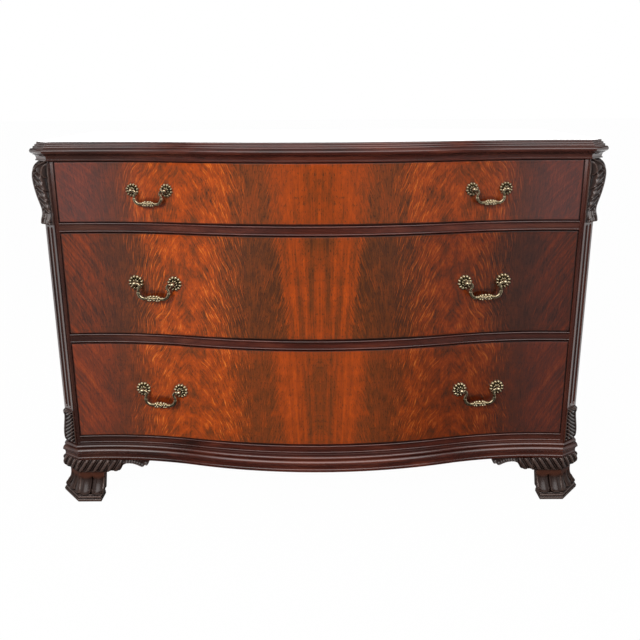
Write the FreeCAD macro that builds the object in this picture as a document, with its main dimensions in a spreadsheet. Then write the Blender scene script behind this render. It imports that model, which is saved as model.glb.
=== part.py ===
import FreeCAD, Part
import math
import os

import Sketcher
from FreeCAD import Placement, Rotation, Vector

# Driving dimensions in millimetres: name, size, meaning
DIMENSIONS = (
    ("case_width", 1230, "outside of the left side to the outside of the right side"),
    ("crest_reach", 260, "middle of the case forward to the crest of the drawer faces"),
    ("case_back", 275, "middle of the case back to the rear face of the rear posts"),
    ("top_back", 280, "middle of the case back to the rear edge of the top"),
    ("crest_radius", 1180, "radius of the swelling middle of the front"),
    ("hollow_radius", 845, "radius of the two hollows of the front"),
    ("hollow_centre", 507, "middle of the case sideways to the deepest point of a hollow"),
    ("base_crest_radius", 1080, "swelling of the base moulding, bowed more than the drawers"),
    ("base_hollow_radius", 775, "hollows of the base moulding"),
    ("base_crest_gain", 6, "how much further the base bows out than the drawers"),
    ("opening_width", 1150, "clear width between the front posts"),
    ("strip_width", 10, "flat front edge of a post beside the drawers"),
    ("cant_leg", 30, "size of the bevelled corner of a post, along X and along Y"),
    ("foot_height", 106, "floor to the underside of the case"),
    ("base_height", 39, "height of the base moulding"),
    ("sill_height", 60, "height of the rail below the lowest drawer"),
    ("lower_opening", 233.5, "height of the lowest drawer opening"),
    ("middle_opening", 236, "height of the middle drawer opening"),
    ("upper_opening", 134.5, "height of the top drawer opening"),
    ("rail_height", 21, "height of the rails between the drawers"),
    ("cornice_height", 14, "height of the moulding under the top"),
    ("top_thickness", 26, "thickness of the top board"),
    ("top_nose", 20, "how far the nose of the top stands out of the case"),
    ("rail_back", 140, "middle of the case forward to the back edge of the front rails"),
    ("post_back", 125, "middle of the case forward to the back edge of the front posts"),
    ("rear_post_front", 215, "middle of the case back to the front edge of the rear posts"),
    ("side_thickness", 20, "thickness of the side panels"),
    ("back_thickness", 6, "thickness of the back panel"),
    ("back_inset", 6, "rear face of the posts forward to the back panel"),
    ("rear_rail_depth", 25, "front to back size of the rear rails"),
    ("runner_width", 30, "width of a drawer runner inside the opening"),
    ("guide_rise", 25, "height of a drawer guide above its runner"),
    ("dust_thickness", 6, "thickness of the dust boards"),
    ("front_thickness", 22, "thickness of a drawer front"),
    ("lining_thickness", 12, "thickness of drawer sides and backs"),
    ("bottom_thickness", 6, "thickness of a drawer bottom"),
    ("bottom_rise", 12, "lower edge of a drawer side up to its bottom board"),
    ("side_gap", 1.5, "gap beside a drawer front"),
    ("floor_gap", 1, "gap under a drawer front"),
    ("head_gap", 1.5, "gap over a drawer front"),
    ("run_gap", 0.3, "running gap of a drawer side on its runner"),
    ("side_drop", 8, "top of a drawer opening down to the top of a drawer side"),
    ("drawer_back", 232, "middle of the case back to the rear face of a drawer"),
    ("stop_width", 30, "width of a drawer stop"),
    ("stop_depth", 24, "front to back size of a drawer stop"),
    ("stop_height", 6, "height of a drawer stop"),
    ("stop_place", 250, "middle of the case sideways to a drawer stop"),
    ("handle_place", 368, "middle of the case sideways to the middle of a handle"),
    ("handle_rise", 5, "middle of a drawer up to the pivots of its handles"),
    ("pivot_spacing", 88.9, "distance between the two posts of a handle"),
    ("small_pivot_spacing", 76.2, "distance between the two posts of a top drawer handle"),
    ("pivot_reach", 15, "drawer face out to the pivot of a handle"),
    ("pin_radius", 2, "radius of a handle's pivot pins"),
    ("pin_clearance", 0.06, "running clearance round a pivot pin"),
    ("bail_radius", 3.2, "radius of a handle's bent arms"),
    ("bail_drop", 33.5, "pivot of a handle down to the middle of its grip"),
    ("rosette_radius", 16, "radius of the flower plate behind a handle post"),
    ("knuckle_radius", 5.5, "radius of the ball that holds a pivot pin"),
    ("shank_radius", 2.5, "radius of a handle post's threaded shank"),
    ("wing_length", 100, "length of a carved wing beside a front foot"),
    ("wing_thickness", 22, "thickness of a carved wing"),
)

CURVE_STEPS = 6
SIDES = (("left", -1), ("right", 1))
DIAGONAL = math.sqrt(0.5)

doc = FreeCAD.newDocument("serpentine_chest")
sheet = doc.addObject("Spreadsheet::Sheet", "dims")
for row, (alias, value, meaning) in enumerate(DIMENSIONS, start=1):
    sheet.set(f"A{row}", alias)
    sheet.set(f"B{row}", str(value))
    sheet.setAlias(f"B{row}", alias)
    sheet.set(f"C{row}", meaning)
doc.recompute()

nodes = []


def dim(alias):
    """Size held by the sheet under this name."""
    return float(sheet.get(alias))


def keep(thing, label):
    """Name an object and count it among the pieces of the chest."""
    thing.Label = label
    nodes.append(thing)
    return thing


# Heights of the case, from the floor up, as expressions and as numbers
SILL_TOP = "(dims.foot_height + dims.sill_height)"
LOWER_RAIL = f"({SILL_TOP} + dims.lower_opening)"
MIDDLE_FLOOR = f"({LOWER_RAIL} + dims.rail_height)"
UPPER_RAIL = f"({MIDDLE_FLOOR} + dims.middle_opening)"
UPPER_FLOOR = f"({UPPER_RAIL} + dims.rail_height)"
CORNICE = f"({UPPER_FLOOR} + dims.upper_opening)"
TOP_UNDERSIDE = f"({CORNICE} + dims.cornice_height)"

sill_top = dim("foot_height") + dim("sill_height")
middle_floor = sill_top + dim("lower_opening") + dim("rail_height")
upper_floor = middle_floor + dim("middle_opening") + dim("rail_height")
cornice_bottom = upper_floor + dim("upper_opening")
top_underside = cornice_bottom + dim("cornice_height")
top_surface = top_underside + dim("top_thickness")
half_case = dim("case_width") / 2
half_opening = dim("opening_width") / 2
cant_start = half_opening + dim("strip_width")


# The serpentine plan: a crest arc between two hollow arcs, all joined tangentially
class Plan:
    """The bowed front seen from above, which mouldings follow at a distance."""

    def __init__(self, crest_radius, hollow_radius, crest_reach):
        self.crest_radius = crest_radius
        self.hollow_radius = hollow_radius
        self.hollow_x = dim("hollow_centre")
        self.crest_y = crest_radius - crest_reach
        radius_sum = crest_radius + hollow_radius
        self.join_angle = math.asin(self.hollow_x / radius_sum)
        self.hollow_y = self.crest_y - radius_sum * math.cos(self.join_angle)

    def face(self, x, out=0):
        """Y of the front at a distance x from the middle, moved outwards by out."""
        across = abs(x)
        if across < (self.crest_radius + out) * math.sin(self.join_angle):
            return self.crest_y - math.sqrt((self.crest_radius + out) ** 2 - across ** 2)
        radius = self.hollow_radius - out
        return self.hollow_y + math.sqrt(radius ** 2 - (across - self.hollow_x) ** 2)

    def front_edges(self, end_x, out, height):
        """Edges of the front from left to right, ending at -end_x and end_x."""
        join_x = (self.crest_radius + out) * math.sin(self.join_angle)
        half_way = (join_x + end_x) / 2
        stops = (-end_x, -half_way, -join_x, 0, join_x, half_way, end_x)
        points = [Vector(x, self.face(x, out), height) for x in stops]
        return [Part.Arc(*points[first:first + 3]).toShape() for first in (0, 2, 4)]


case_plan = Plan(dim("crest_radius"), dim("hollow_radius"), dim("crest_reach"))
base_plan = Plan(dim("base_crest_radius"), dim("base_hollow_radius"),
                 dim("crest_reach") + dim("base_crest_gain"))
cant_front = case_plan.face(cant_start)


def corner_points(plan, out, share, height):
    """Front and side ends of the bevelled right corner, moved outwards by out.

    share scales out for the front end sideways, and for the side end sideways and backwards.
    """
    front_share, side_share, back_share = share
    front_x = cant_start + out * front_share
    side_x = half_case + out * side_share
    side_y = cant_front + dim("cant_leg") + out * back_share
    return Vector(front_x, plan.face(front_x, out), height), Vector(side_x, side_y, height)


def mirrored(point):
    """The same point on the other side of the chest."""
    return Vector(-point.x, point.y, point.z)


def line(start, end):
    """Straight edge between two points."""
    return Part.LineSegment(start, end).toShape()


def loop(points):
    """Closed wire through points, with straight edges."""
    return Part.makePolygon(list(points) + [points[0]])


def loft(wires):
    """Solid skin over a stack of alike wires."""
    return Part.makeLoft(wires, True, True)


def feature(label, shape):
    """A piece whose shape follows the serpentine or carved forms."""
    piece = doc.addObject("Part::Feature", label)
    place = shape.Placement
    piece.Shape = shape
    piece.Placement = place
    return keep(piece, label)


# Moulding profiles: lists of (distance out, height), from the bottom up
def bead(root, bulge, bottom, top):
    """Half round standing out of root by bulge."""
    points = []
    for step in range(CURVE_STEPS + 1):
        angle = math.pi * step / CURVE_STEPS
        out = root + bulge * math.sin(angle)
        points.append((out, (bottom + top) / 2 - (top - bottom) / 2 * math.cos(angle)))
    return points


def cove(start, end, flat_first):
    """Hollow quarter round from start to end, leaving start level or upright."""
    points = []
    for step in range(CURVE_STEPS + 1):
        angle = math.pi / 2 * step / CURVE_STEPS
        across = math.sin(angle) if flat_first else 1 - math.cos(angle)
        up = 1 - math.cos(angle) if flat_first else math.sin(angle)
        points.append((start[0] + (end[0] - start[0]) * across, start[1] + (end[1] - start[1]) * up))
    return points


NOSE_HEIGHT = 14
NOSE_BULGE = 8
SHELF_SETBACK = 12
RIM_SETBACK = 25
QUIRK = 1


def top_profile():
    """Edge of the top: a nose below a hollow that runs up to the rim."""
    nose = dim("top_nose")
    nose_top = top_underside + NOSE_HEIGHT
    return (bead(nose - NOSE_BULGE, NOSE_BULGE, top_underside, nose_top)
            + cove((nose - SHELF_SETBACK, nose_top + QUIRK), (nose - RIM_SETBACK, top_surface), True))


FILLET_OUT = 6.5
FILLET_HEIGHT = 3
CORNICE_ROOT = 4.5
CORNICE_OUT = 11


def cornice_profile():
    """Moulding under the top: a fillet below a hollow."""
    fillet_top = cornice_bottom + FILLET_HEIGHT
    return ([(FILLET_OUT, cornice_bottom), (FILLET_OUT, fillet_top)]
            + cove((CORNICE_ROOT, fillet_top + QUIRK / 2), (CORNICE_OUT, top_underside), False))


BAND_OUT = 5
BAND_HEIGHT = 7
BASE_COVE_OUT = 9
BASE_COVE_HEIGHT = 10
LARGE_BEAD_ROOT = 8
LARGE_BEAD_BULGE = 6
LARGE_BEAD_HEIGHT = 10
SMALL_BEAD_ROOT = 4
SMALL_BEAD_BULGE = 4.5


def base_profile():
    """Moulding of the base: a foot band, a hollow, a large bead and a small bead."""
    bottom = dim("foot_height")
    band_top = bottom + BAND_HEIGHT
    cove_bottom = band_top + QUIRK
    cove_top = cove_bottom + BASE_COVE_HEIGHT
    large_bottom = cove_top + 2 * QUIRK
    large_top = large_bottom + LARGE_BEAD_HEIGHT
    small_bottom = large_top + 2 * QUIRK
    return ([(BAND_OUT, bottom), (BAND_OUT + QUIRK, band_top)]
            + cove((BAND_OUT, cove_bottom), (BASE_COVE_OUT, cove_top), False)
            + bead(LARGE_BEAD_ROOT, LARGE_BEAD_BULGE, large_bottom, large_top)
            + bead(SMALL_BEAD_ROOT, SMALL_BEAD_BULGE, small_bottom, bottom + dim("base_height")))


EVEN = (math.sqrt(2) - 1, 1, 1 - math.sqrt(2))
BASE_SHARE = (-0.45, 0.55, -1.3)


def top_section(out, height):
    """Outline of the top board at one height."""
    front, side = corner_points(case_plan, out, EVEN, height)
    back = Vector(side.x, dim("top_back"), height)
    edges = case_plan.front_edges(front.x, out, height)
    edges += [line(front, side), line(side, back), line(back, mirrored(back)),
              line(mirrored(back), mirrored(side)), line(mirrored(side), mirrored(front))]
    return Part.Wire(edges)


def front_section(plan, out, share, height):
    """Outline of a moulding along the front, mitred at the bevelled corners."""
    outer, _ = corner_points(plan, out, share, height)
    inner, _ = corner_points(case_plan, 0, EVEN, height)
    edges = plan.front_edges(outer.x, out, height) + [line(outer, inner)]
    edges += [edge.reversed() for edge in reversed(case_plan.front_edges(inner.x, 0, height))]
    return Part.Wire(edges + [line(mirrored(inner), mirrored(outer))])


def side_section(plan, out, share, height, side):
    """Outline of a moulding round one bevelled corner and along its side."""
    outer = corner_points(plan, out, share, height)
    inner = corner_points(case_plan, 0, EVEN, height)
    back = dim("case_back")
    points = [outer[0], outer[1], Vector(outer[1].x, back, height),
              Vector(inner[1].x, back, height), inner[1], inner[0]]
    if side < 0:
        points = [mirrored(point) for point in points]
    return loop(points)


def make_mouldings(prefix, plan, profile, share):
    """Front, left and right lengths of one moulding."""
    feature(f"{prefix}_front", loft([front_section(plan, out, share, up) for out, up in profile]))
    for name, side in SIDES:
        wires = [side_section(plan, out, share, up, side) for out, up in profile]
        feature(f"{prefix}_{name}", loft(wires))


# Sketches with the serpentine front edge
def bind(sketch, kind, places, name, expression, value):
    """Add one dimension to a sketch and tie it to the sheet."""
    index = sketch.addConstraint(Sketcher.Constraint(kind, *places, value))
    sketch.renameConstraint(index, name)
    sketch.setExpression(f"Constraints.{name}", expression)


def arc_of(x, y, radius, first, last):
    """Arc of a circle between two angles in degrees."""
    circle = Part.Circle(Vector(x, y, 0), Vector(0, 0, 1), radius)
    return Part.ArcOfCircle(circle, math.radians(first), math.radians(last))


def serpentine_sketch(body, name, set_in, half_width, back, behind=False):
    """Outline with the bowed front edge, set_in behind the drawer faces.

    back is measured forward from the middle of the case, or backward if behind is true.
    """
    sketch = body.newObject("Sketcher::SketchObject", name)
    plane = [item for item in body.Origin.OriginFeatures if item.Role == "XY_Plane"][0]
    sketch.AttachmentSupport = [(plane, "")]
    sketch.MapMode = "FlatFace"
    inset, half, reach = (evaluate(text) for text in (set_in, half_width, back))
    back_y = reach if behind else -reach
    crest = dim("crest_radius") - inset
    hollow = dim("hollow_radius") + inset
    join = math.degrees(case_plan.join_angle)
    end = math.degrees(math.asin((half - case_plan.hollow_x) / hollow))
    corner = Vector(half, case_plan.face(half, -inset), 0)
    corner_back = Vector(half, back_y, 0)
    middle = sketch.addGeometry(arc_of(0, case_plan.crest_y, crest, -90 - join, -90 + join))
    right = sketch.addGeometry(
        arc_of(case_plan.hollow_x, case_plan.hollow_y, hollow, 90 - end, 90 + join))
    left = sketch.addGeometry(
        arc_of(-case_plan.hollow_x, case_plan.hollow_y, hollow, 90 - join, 90 + end))
    right_end = sketch.addGeometry(Part.LineSegment(corner, corner_back))
    rear = sketch.addGeometry(Part.LineSegment(corner_back, mirrored(corner_back)))
    left_end = sketch.addGeometry(Part.LineSegment(mirrored(corner_back), mirrored(corner)))
    rules = [("Tangent", middle, 2, right, 2), ("Tangent", middle, 1, left, 1), ("Equal", right, left),
             ("PointOnObject", middle, 3, -2), ("Coincident", right, 1, right_end, 1),
             ("Vertical", right_end), ("Coincident", right_end, 2, rear, 1), ("Horizontal", rear),
             ("Coincident", rear, 2, left_end, 1), ("Vertical", left_end),
             ("Coincident", left_end, 2, left, 2)]
    for rule in rules:
        sketch.addConstraint(Sketcher.Constraint(*rule))
    bind(sketch, "Radius", (middle,), "crest", f"dims.crest_radius - {set_in}", crest)
    bind(sketch, "Radius", (right,), "hollow", f"dims.hollow_radius + {set_in}", hollow)
    bind(sketch, "DistanceY", (-1, 1, middle, 3), "crest_centre",
         "dims.crest_radius - dims.crest_reach", case_plan.crest_y)
    bind(sketch, "DistanceX", (-1, 1, right, 3), "right_hollow", "dims.hollow_centre", case_plan.hollow_x)
    bind(sketch, "DistanceX", (left, 3, -1, 1), "left_hollow", "dims.hollow_centre", case_plan.hollow_x)
    bind(sketch, "DistanceX", (-1, 1, right_end, 2), "right_half", half_width, half)
    bind(sketch, "DistanceX", (left_end, 1, -1, 1), "left_half", half_width, half)
    places = (-1, 1, rear, 1) if behind else (rear, 1, -1, 1)
    bind(sketch, "DistanceY", places, "back", back, reach)
    return sketch


def evaluate(expression):
    """Number that an expression of the sheet's names stands for."""
    return float(sheet.evalExpression(expression.replace("dims.", "")))


def serpentine_body(label, bottom, thickness, set_in, half_width, back, behind=False):
    """Board with the bowed front edge, lying level."""
    body = doc.addObject("PartDesign::Body", label)
    sketch = serpentine_sketch(body, f"{label}_outline", set_in, half_width, back, behind)
    pad = body.newObject("PartDesign::Pad", f"{label}_pad")
    pad.Profile = sketch
    pad.setExpression("Length", thickness)
    body.setExpression("Placement.Base.z", bottom)
    body.Label = label
    return body


# Plain boards
def board(label, sizes, corner):
    """Straight board with its sizes and its low corner tied to the sheet."""
    box = doc.addObject("Part::Box", label)
    for name, expression in zip(("Length", "Width", "Height"), sizes):
        box.setExpression(name, expression)
    for axis, expression in zip("xyz", corner):
        box.setExpression(f"Placement.Base.{axis}", expression)
    box.Label = label
    return box


def group(label, members):
    """Several separate solids of one kind, kept as one piece of the list."""
    compound = doc.addObject("Part::Compound", label)
    compound.Links = members
    return keep(compound, label)


def low_x(side, near, width):
    """Expression for the low X of a board that starts near from the middle on one side."""
    return f"{near}" if side > 0 else f"-({near}) - ({width})"


def make_top():
    """Top board with its moulded edge, and the moulding under it."""
    feature("top_board", loft([top_section(out, up) for out, up in top_profile()]))
    make_mouldings("top_moulding", case_plan, cornice_profile(), EVEN)


def make_front_rails():
    """Rails across the front: under the top, between the drawers and below them."""
    half = "dims.opening_width / 2"
    rails = (("top_front_rail", CORNICE, "dims.cornice_height"),
             ("upper_divider_rail", UPPER_RAIL, "dims.rail_height"),
             ("lower_divider_rail", LOWER_RAIL, "dims.rail_height"),
             ("bottom_front_rail", "dims.foot_height", "dims.sill_height"))
    for label, bottom, height in rails:
        keep(serpentine_body(label, bottom, height, "0", half, "dims.rail_back"), label)


def cant_place(across, out, height):
    """Point on the right bevelled corner: across its face from the middle, out of it, at a height."""
    middle_x = cant_start + dim("cant_leg") / 2
    middle_y = cant_front + dim("cant_leg") / 2
    return Vector(middle_x + (across + out) * DIAGONAL, middle_y + (across - out) * DIAGONAL, height)


FLUTE_RADIUS = 6
FLUTE_DEPTH = 4
FLUTE_PLACE = 8
FLUTE_BOTTOM = 240
FLUTE_TOP = 662


def front_post():
    """Right front post: a bevelled square post with two stopped flutes on its bevel."""
    bottom = dim("foot_height")
    back = -dim("post_back")
    side_start = cant_front + dim("cant_leg")
    strip = [Vector(x, case_plan.face(x), bottom)
             for x in (half_opening, (half_opening + cant_start) / 2, cant_start)]
    corners = [strip[-1], Vector(half_case, side_start, bottom), Vector(half_case, back, bottom),
               Vector(half_opening, back, bottom), strip[0]]
    edges = [Part.Arc(*strip).toShape()] + [line(*pair) for pair in zip(corners, corners[1:])]
    post = Part.Face(Part.Wire(edges)).extrude(Vector(0, 0, top_underside - bottom))
    for across in (-FLUTE_PLACE, FLUTE_PLACE):
        axis_out = FLUTE_RADIUS - FLUTE_DEPTH
        low = cant_place(across, axis_out, FLUTE_BOTTOM)
        high = cant_place(across, axis_out, FLUTE_TOP)
        flute = Part.makeCylinder(FLUTE_RADIUS, FLUTE_TOP - FLUTE_BOTTOM, low)
        post = post.cut(flute.fuse([Part.makeSphere(FLUTE_RADIUS, end) for end in (low, high)]))
    return post


def other_side(shape):
    """Mirror image of a right hand piece."""
    return shape.mirror(Vector(0, 0, 0), Vector(1, 0, 0))


def both_sides(suffix, shape):
    """Right hand piece and its mirror image on the left."""
    feature(f"left_{suffix}", other_side(shape))
    feature(f"right_{suffix}", shape)


def make_case_sides():
    """Posts, side panels, back panel and rear rails."""
    both_sides("front_post", front_post())
    height = f"{TOP_UNDERSIDE} - dims.foot_height"
    width = "(dims.case_width - dims.opening_width) / 2"
    for name, side in SIDES:
        near = "dims.opening_width / 2"
        rear = board(f"{name}_rear_post", (width, "dims.case_back - dims.rear_post_front", height),
                     (low_x(side, near, width), "dims.rear_post_front", "dims.foot_height"))
        keep(rear, f"{name}_rear_post")
        near = "dims.case_width / 2 - dims.side_thickness"
        panel = board(f"{name}_side_panel",
                      ("dims.side_thickness", "dims.post_back + dims.rear_post_front", height),
                      (low_x(side, near, "dims.side_thickness"), "-dims.post_back", "dims.foot_height"))
        keep(panel, f"{name}_side_panel")
    back = board("back_panel", ("dims.opening_width", "dims.back_thickness", height),
                 ("-dims.opening_width / 2", "dims.case_back - dims.back_inset - dims.back_thickness",
                  "dims.foot_height"))
    keep(back, "back_panel")
    rail_y = "dims.case_back - dims.back_inset - dims.back_thickness - dims.rear_rail_depth"
    rails = []
    for name, bottom, tall in (("top", CORNICE, "dims.cornice_height"),
                               ("upper", UPPER_RAIL, "dims.rail_height"),
                               ("lower", LOWER_RAIL, "dims.rail_height"),
                               ("bottom", "dims.foot_height", "dims.sill_height")):
        rails.append(board(f"{name}_rear_rail", ("dims.opening_width", "dims.rear_rail_depth", tall),
                           ("-dims.opening_width / 2", rail_y, bottom)))
    group("rear_rails", rails)


RUN_BACK = "(dims.case_back - dims.back_inset - dims.back_thickness - dims.rear_rail_depth)"


def make_runners():
    """Runners with their guides, kickers over the top drawer, dust boards and stops."""
    runners = []
    near = "dims.opening_width / 2 - dims.runner_width"
    depth = f"dims.rail_back + {RUN_BACK}"
    guide_near = "dims.opening_width / 2"
    guide_width = "(dims.case_width - dims.opening_width) / 2 - dims.side_thickness"
    floors = (("lower", SILL_TOP), ("middle", MIDDLE_FLOOR), ("upper", UPPER_FLOOR))
    for level, top in floors:
        bottom = f"{top} - dims.rail_height"
        for name, side in SIDES:
            strip = board(f"{level}_{name}_runner_strip", ("dims.runner_width", depth, "dims.rail_height"),
                          (low_x(side, near, "dims.runner_width"), "-dims.rail_back", bottom))
            guide = board(f"{level}_{name}_guide_strip",
                          (guide_width, "dims.post_back + dims.rear_post_front",
                           "dims.rail_height + dims.guide_rise"),
                          (low_x(side, guide_near, guide_width), "-dims.post_back", bottom))
            runner = doc.addObject("Part::Fuse", f"{level}_{name}_runner")
            runner.Base = strip
            runner.Tool = guide
            runners.append(runner)
    runners += [board(f"{name}_kicker", ("dims.runner_width", depth, "dims.cornice_height"),
                      (low_x(side, near, "dims.runner_width"), "-dims.rail_back", CORNICE))
                for name, side in SIDES]
    group("runners_and_kickers", runners)
    span = "dims.opening_width - 2 * dims.runner_width"
    dust = [board(f"{level}_dust_board", (span, depth, "dims.dust_thickness"),
                  (f"-({span}) / 2", "-dims.rail_back",
                   f"{top} - (dims.rail_height + dims.dust_thickness) / 2"))
            for level, top in floors]
    group("dust_boards", dust)
    stops = [board(f"{level}_{name}_stop", ("dims.stop_width", "dims.stop_depth", "dims.stop_height"),
                   (low_x(side, "dims.stop_place - dims.stop_width / 2", "dims.stop_width"),
                    str(stop_front()), top))
             for level, top in floors for name, side in SIDES]
    group("drawer_stops", stops)


def stop_front():
    """Y of the front of the drawer stops, just behind the inside of a drawer front."""
    outer_end = dim("stop_place") + dim("stop_width") / 2
    return round(case_plan.face(outer_end, -dim("front_thickness")) + dim("run_gap"), 2)


# Carved corner pieces: profiles of (height, distance out of the bevel)
CORBEL_PROFILE = ((672, 3), (674, 10), (682, 11.5), (692, 8.5), (700, 7.5), (710, 8.5), (722, 11.5),
                  (745, 16.5), (765, 19.5), (780, 20.5), (795, 18.5), (804, 13), (811, 4))
CORBEL_OUTER_SHARE = 1
LEAF_PROFILE = ((147, 3), (151, 8), (160, 10), (172, 10), (188, 8), (204, 6), (214, 6), (221, 8.5),
                (226, 7), (228, 2))
LEAF_OUTER_SHARE = 0.4
CARVING_WIDTH = 38
INNER_SHARE = 0.45
CROWN_WIDTH = 19


def carved_block(profile, outer_share):
    """Rounded block on the bevelled corner whose swell follows a profile.

    The shares say how much of the swell is left at its front edge and at its outer edge.
    """
    half = CARVING_WIDTH / 2
    crown = CROWN_WIDTH / 2
    wires = []
    for height, out in profile:
        section = [(-half, 0), (half, 0), (half, out * outer_share), (crown, out), (-crown, out),
                   (-half, out * INNER_SHARE)]
        wires.append(loop([cant_place(across, away, height) for across, away in section]))
    return loft(wires)


# Front feet from the floor up: height, flare of the front, flare of the side, how far the front end of
# the bevel lies sideways and its side end backwards, setback of the inner edge
FOOT_PROFILE = (
    (0, 17, 24, 3, 14, 22),
    (7.5, 18, 25, 3, 14, 22),
    (8.3, 15.5, 22, 3, 13, 23),
    (13.5, 15, 21.5, 3, 13, 23),
    (15.5, 11.5, 16.5, 3, 9, 21),
    (18.5, 14.5, 21, 3, 12, 19),
    (27, 13, 19, 3, 11, 18),
    (37, 9, 13, 2, 8, 17),
    (50, 3.5, 5, 1, 3, 15.5),
    (62, 0, 0, 0, 0, 14.5),
    (75, 0, 0, 0, 0, 14),
    (78, 3, 5, 1, 0, 0),
    (86, 9, 13.5, 1, -4, 0),
    (96, 11, 16, 0, -7, 0),
    (106, 8, 13, 0, -6, 0),
)
FOOT_INNER = 511
FOOT_DEPTH = 115
FOOT_WALL = 26


def foot_section(height, front_out, side_out, front_end, side_end, setback):
    """Outline of the right front foot at one height."""
    front_y = cant_front - front_out
    side_x = half_case + side_out
    side_start = cant_front + dim("cant_leg") + side_end
    inner_x = FOOT_INNER + setback
    back_y = cant_front + FOOT_DEPTH - setback
    return loop([Vector(inner_x, front_y, height), Vector(cant_start + front_end, front_y, height),
                 Vector(side_x, side_start, height), Vector(side_x, back_y, height),
                 Vector(inner_x, back_y, height)])


def front_foot():
    """Right front foot: a bracket of two thick walls that meet at the bevelled corner."""
    solid = loft([foot_section(*row) for row in FOOT_PROFILE])
    height = dim("foot_height")
    hollow = Part.makeBox(half_case - FOOT_WALL, FOOT_DEPTH, height, Vector(0, cant_front + FOOT_WALL, 0))
    return solid.cut(hollow)


WING_PROFILE = ((0, 0), (0, -29), (20, -29), (28, -26), (32, -18), (36, -10), (42, -5.5), (51, -4.2), (62, -6),
                (72, -10), (80, -14), (84, -14), (88, -10), (93, -11), (96, -8), (100, 0))


def wing_block(start, along, inward):
    """Carved wing: a flat board with an arched lower edge, hung below the base."""
    top = dim("foot_height")
    scale = dim("wing_length") / WING_PROFILE[-1][0]
    points = [start + along * (run * scale) + Vector(0, 0, top + drop) for run, drop in WING_PROFILE]
    return Part.Face(loop(points)).extrude(inward * dim("wing_thickness"))


REAR_FOOT_PROFILE = ((0, 24), (7.5, 25), (8.3, 22), (13.5, 21.5), (15.5, 16.5), (18.5, 21), (27, 19), (37, 13),
                     (50, 5), (62, 0), (106, 0))
REAR_FOOT_INNER = 525
REAR_FOOT_FRONT = 190


def rear_foot():
    """Right rear foot: flat at the back and flared at the side like the front feet."""
    back_y = dim("case_back")
    wires = []
    for height, out in REAR_FOOT_PROFILE:
        side_x = half_case + out
        corners = ((REAR_FOOT_INNER, REAR_FOOT_FRONT), (side_x, REAR_FOOT_FRONT), (side_x, back_y),
                   (REAR_FOOT_INNER, back_y))
        wires.append(loop([Vector(x, y, height) for x, y in corners]))
    return loft(wires)


BLOCK_SIZE = 18
BLOCK_LENGTH = 80
CORNER_BLOCK_SIZE = 30
CORNER_BLOCK_HEIGHT = 94
WING_STAND = 10


def make_carving():
    """Corbels, leaves, feet, wings and the blocks glued behind the wings and the front feet."""
    both_sides("upper_corbel", carved_block(CORBEL_PROFILE, CORBEL_OUTER_SHARE))
    both_sides("lower_leaf", carved_block(LEAF_PROFILE, LEAF_OUTER_SHARE))
    both_sides("front_foot", front_foot())
    wing_y = cant_front - WING_STAND
    front_wing = wing_block(Vector(FOOT_INNER, wing_y, 0), Vector(-1, 0, 0), Vector(0, 1, 0))
    wing_x = half_case + WING_STAND
    side_start = cant_front + FOOT_DEPTH
    side_wing = wing_block(Vector(wing_x, side_start, 0), Vector(0, 1, 0), Vector(-1, 0, 0))
    both_sides("foot_wings", Part.makeCompound([front_wing, side_wing]))
    both_sides("rear_foot", rear_foot())
    low = dim("foot_height") - BLOCK_SIZE
    behind_front = Vector(FOOT_INNER - BLOCK_LENGTH, wing_y + dim("wing_thickness"), low)
    behind_side = Vector(wing_x - dim("wing_thickness") - BLOCK_SIZE, side_start, low)
    in_foot = Vector(half_case - FOOT_WALL - CORNER_BLOCK_SIZE, cant_front + FOOT_WALL,
                     dim("foot_height") - CORNER_BLOCK_HEIGHT)
    blocks = [Part.makeBox(BLOCK_LENGTH, BLOCK_SIZE, BLOCK_SIZE, behind_front),
              Part.makeBox(BLOCK_SIZE, BLOCK_LENGTH, BLOCK_SIZE, behind_side),
              Part.makeBox(CORNER_BLOCK_SIZE, CORNER_BLOCK_SIZE, CORNER_BLOCK_HEIGHT, in_foot)]
    blocks += [other_side(block) for block in blocks]
    feature("glue_blocks", Part.makeCompound(blocks))


# Handles of the large drawers; those of the top drawer are the same, scaled down
SHANK_FIT = 0.05
SHANK_END = 6
BORING_FIT = 0.2
ROSETTE_BACK = 0.25
ROSETTE_DOME = ((0.25, 1), (1.6, 1), (3.2, 0.82), (3.4, 0.6), (4.6, 0.4))
COLLAR = ((4.7, 1.9), (6.2, 1.9), (7.2, 1.2))
PIN_HOLE_START = 0.4
NUT_SIZE = 11
NUT_THICKNESS = 3
NUT_GAP = 0.2
PIN_SETBACK = 0.95
HOOK_SETBACK = 6.2
HOOK_BEND = 6
ARM_SETBACK = 6
SWAN_FALL = 11
KNEE_SWEEP = 14.5
GRIP_ROLLS = ((19, 3.3), (14, 3.8), (10, 5.4), (6, 4.6), (3, 6), (0, 6.3))


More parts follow.
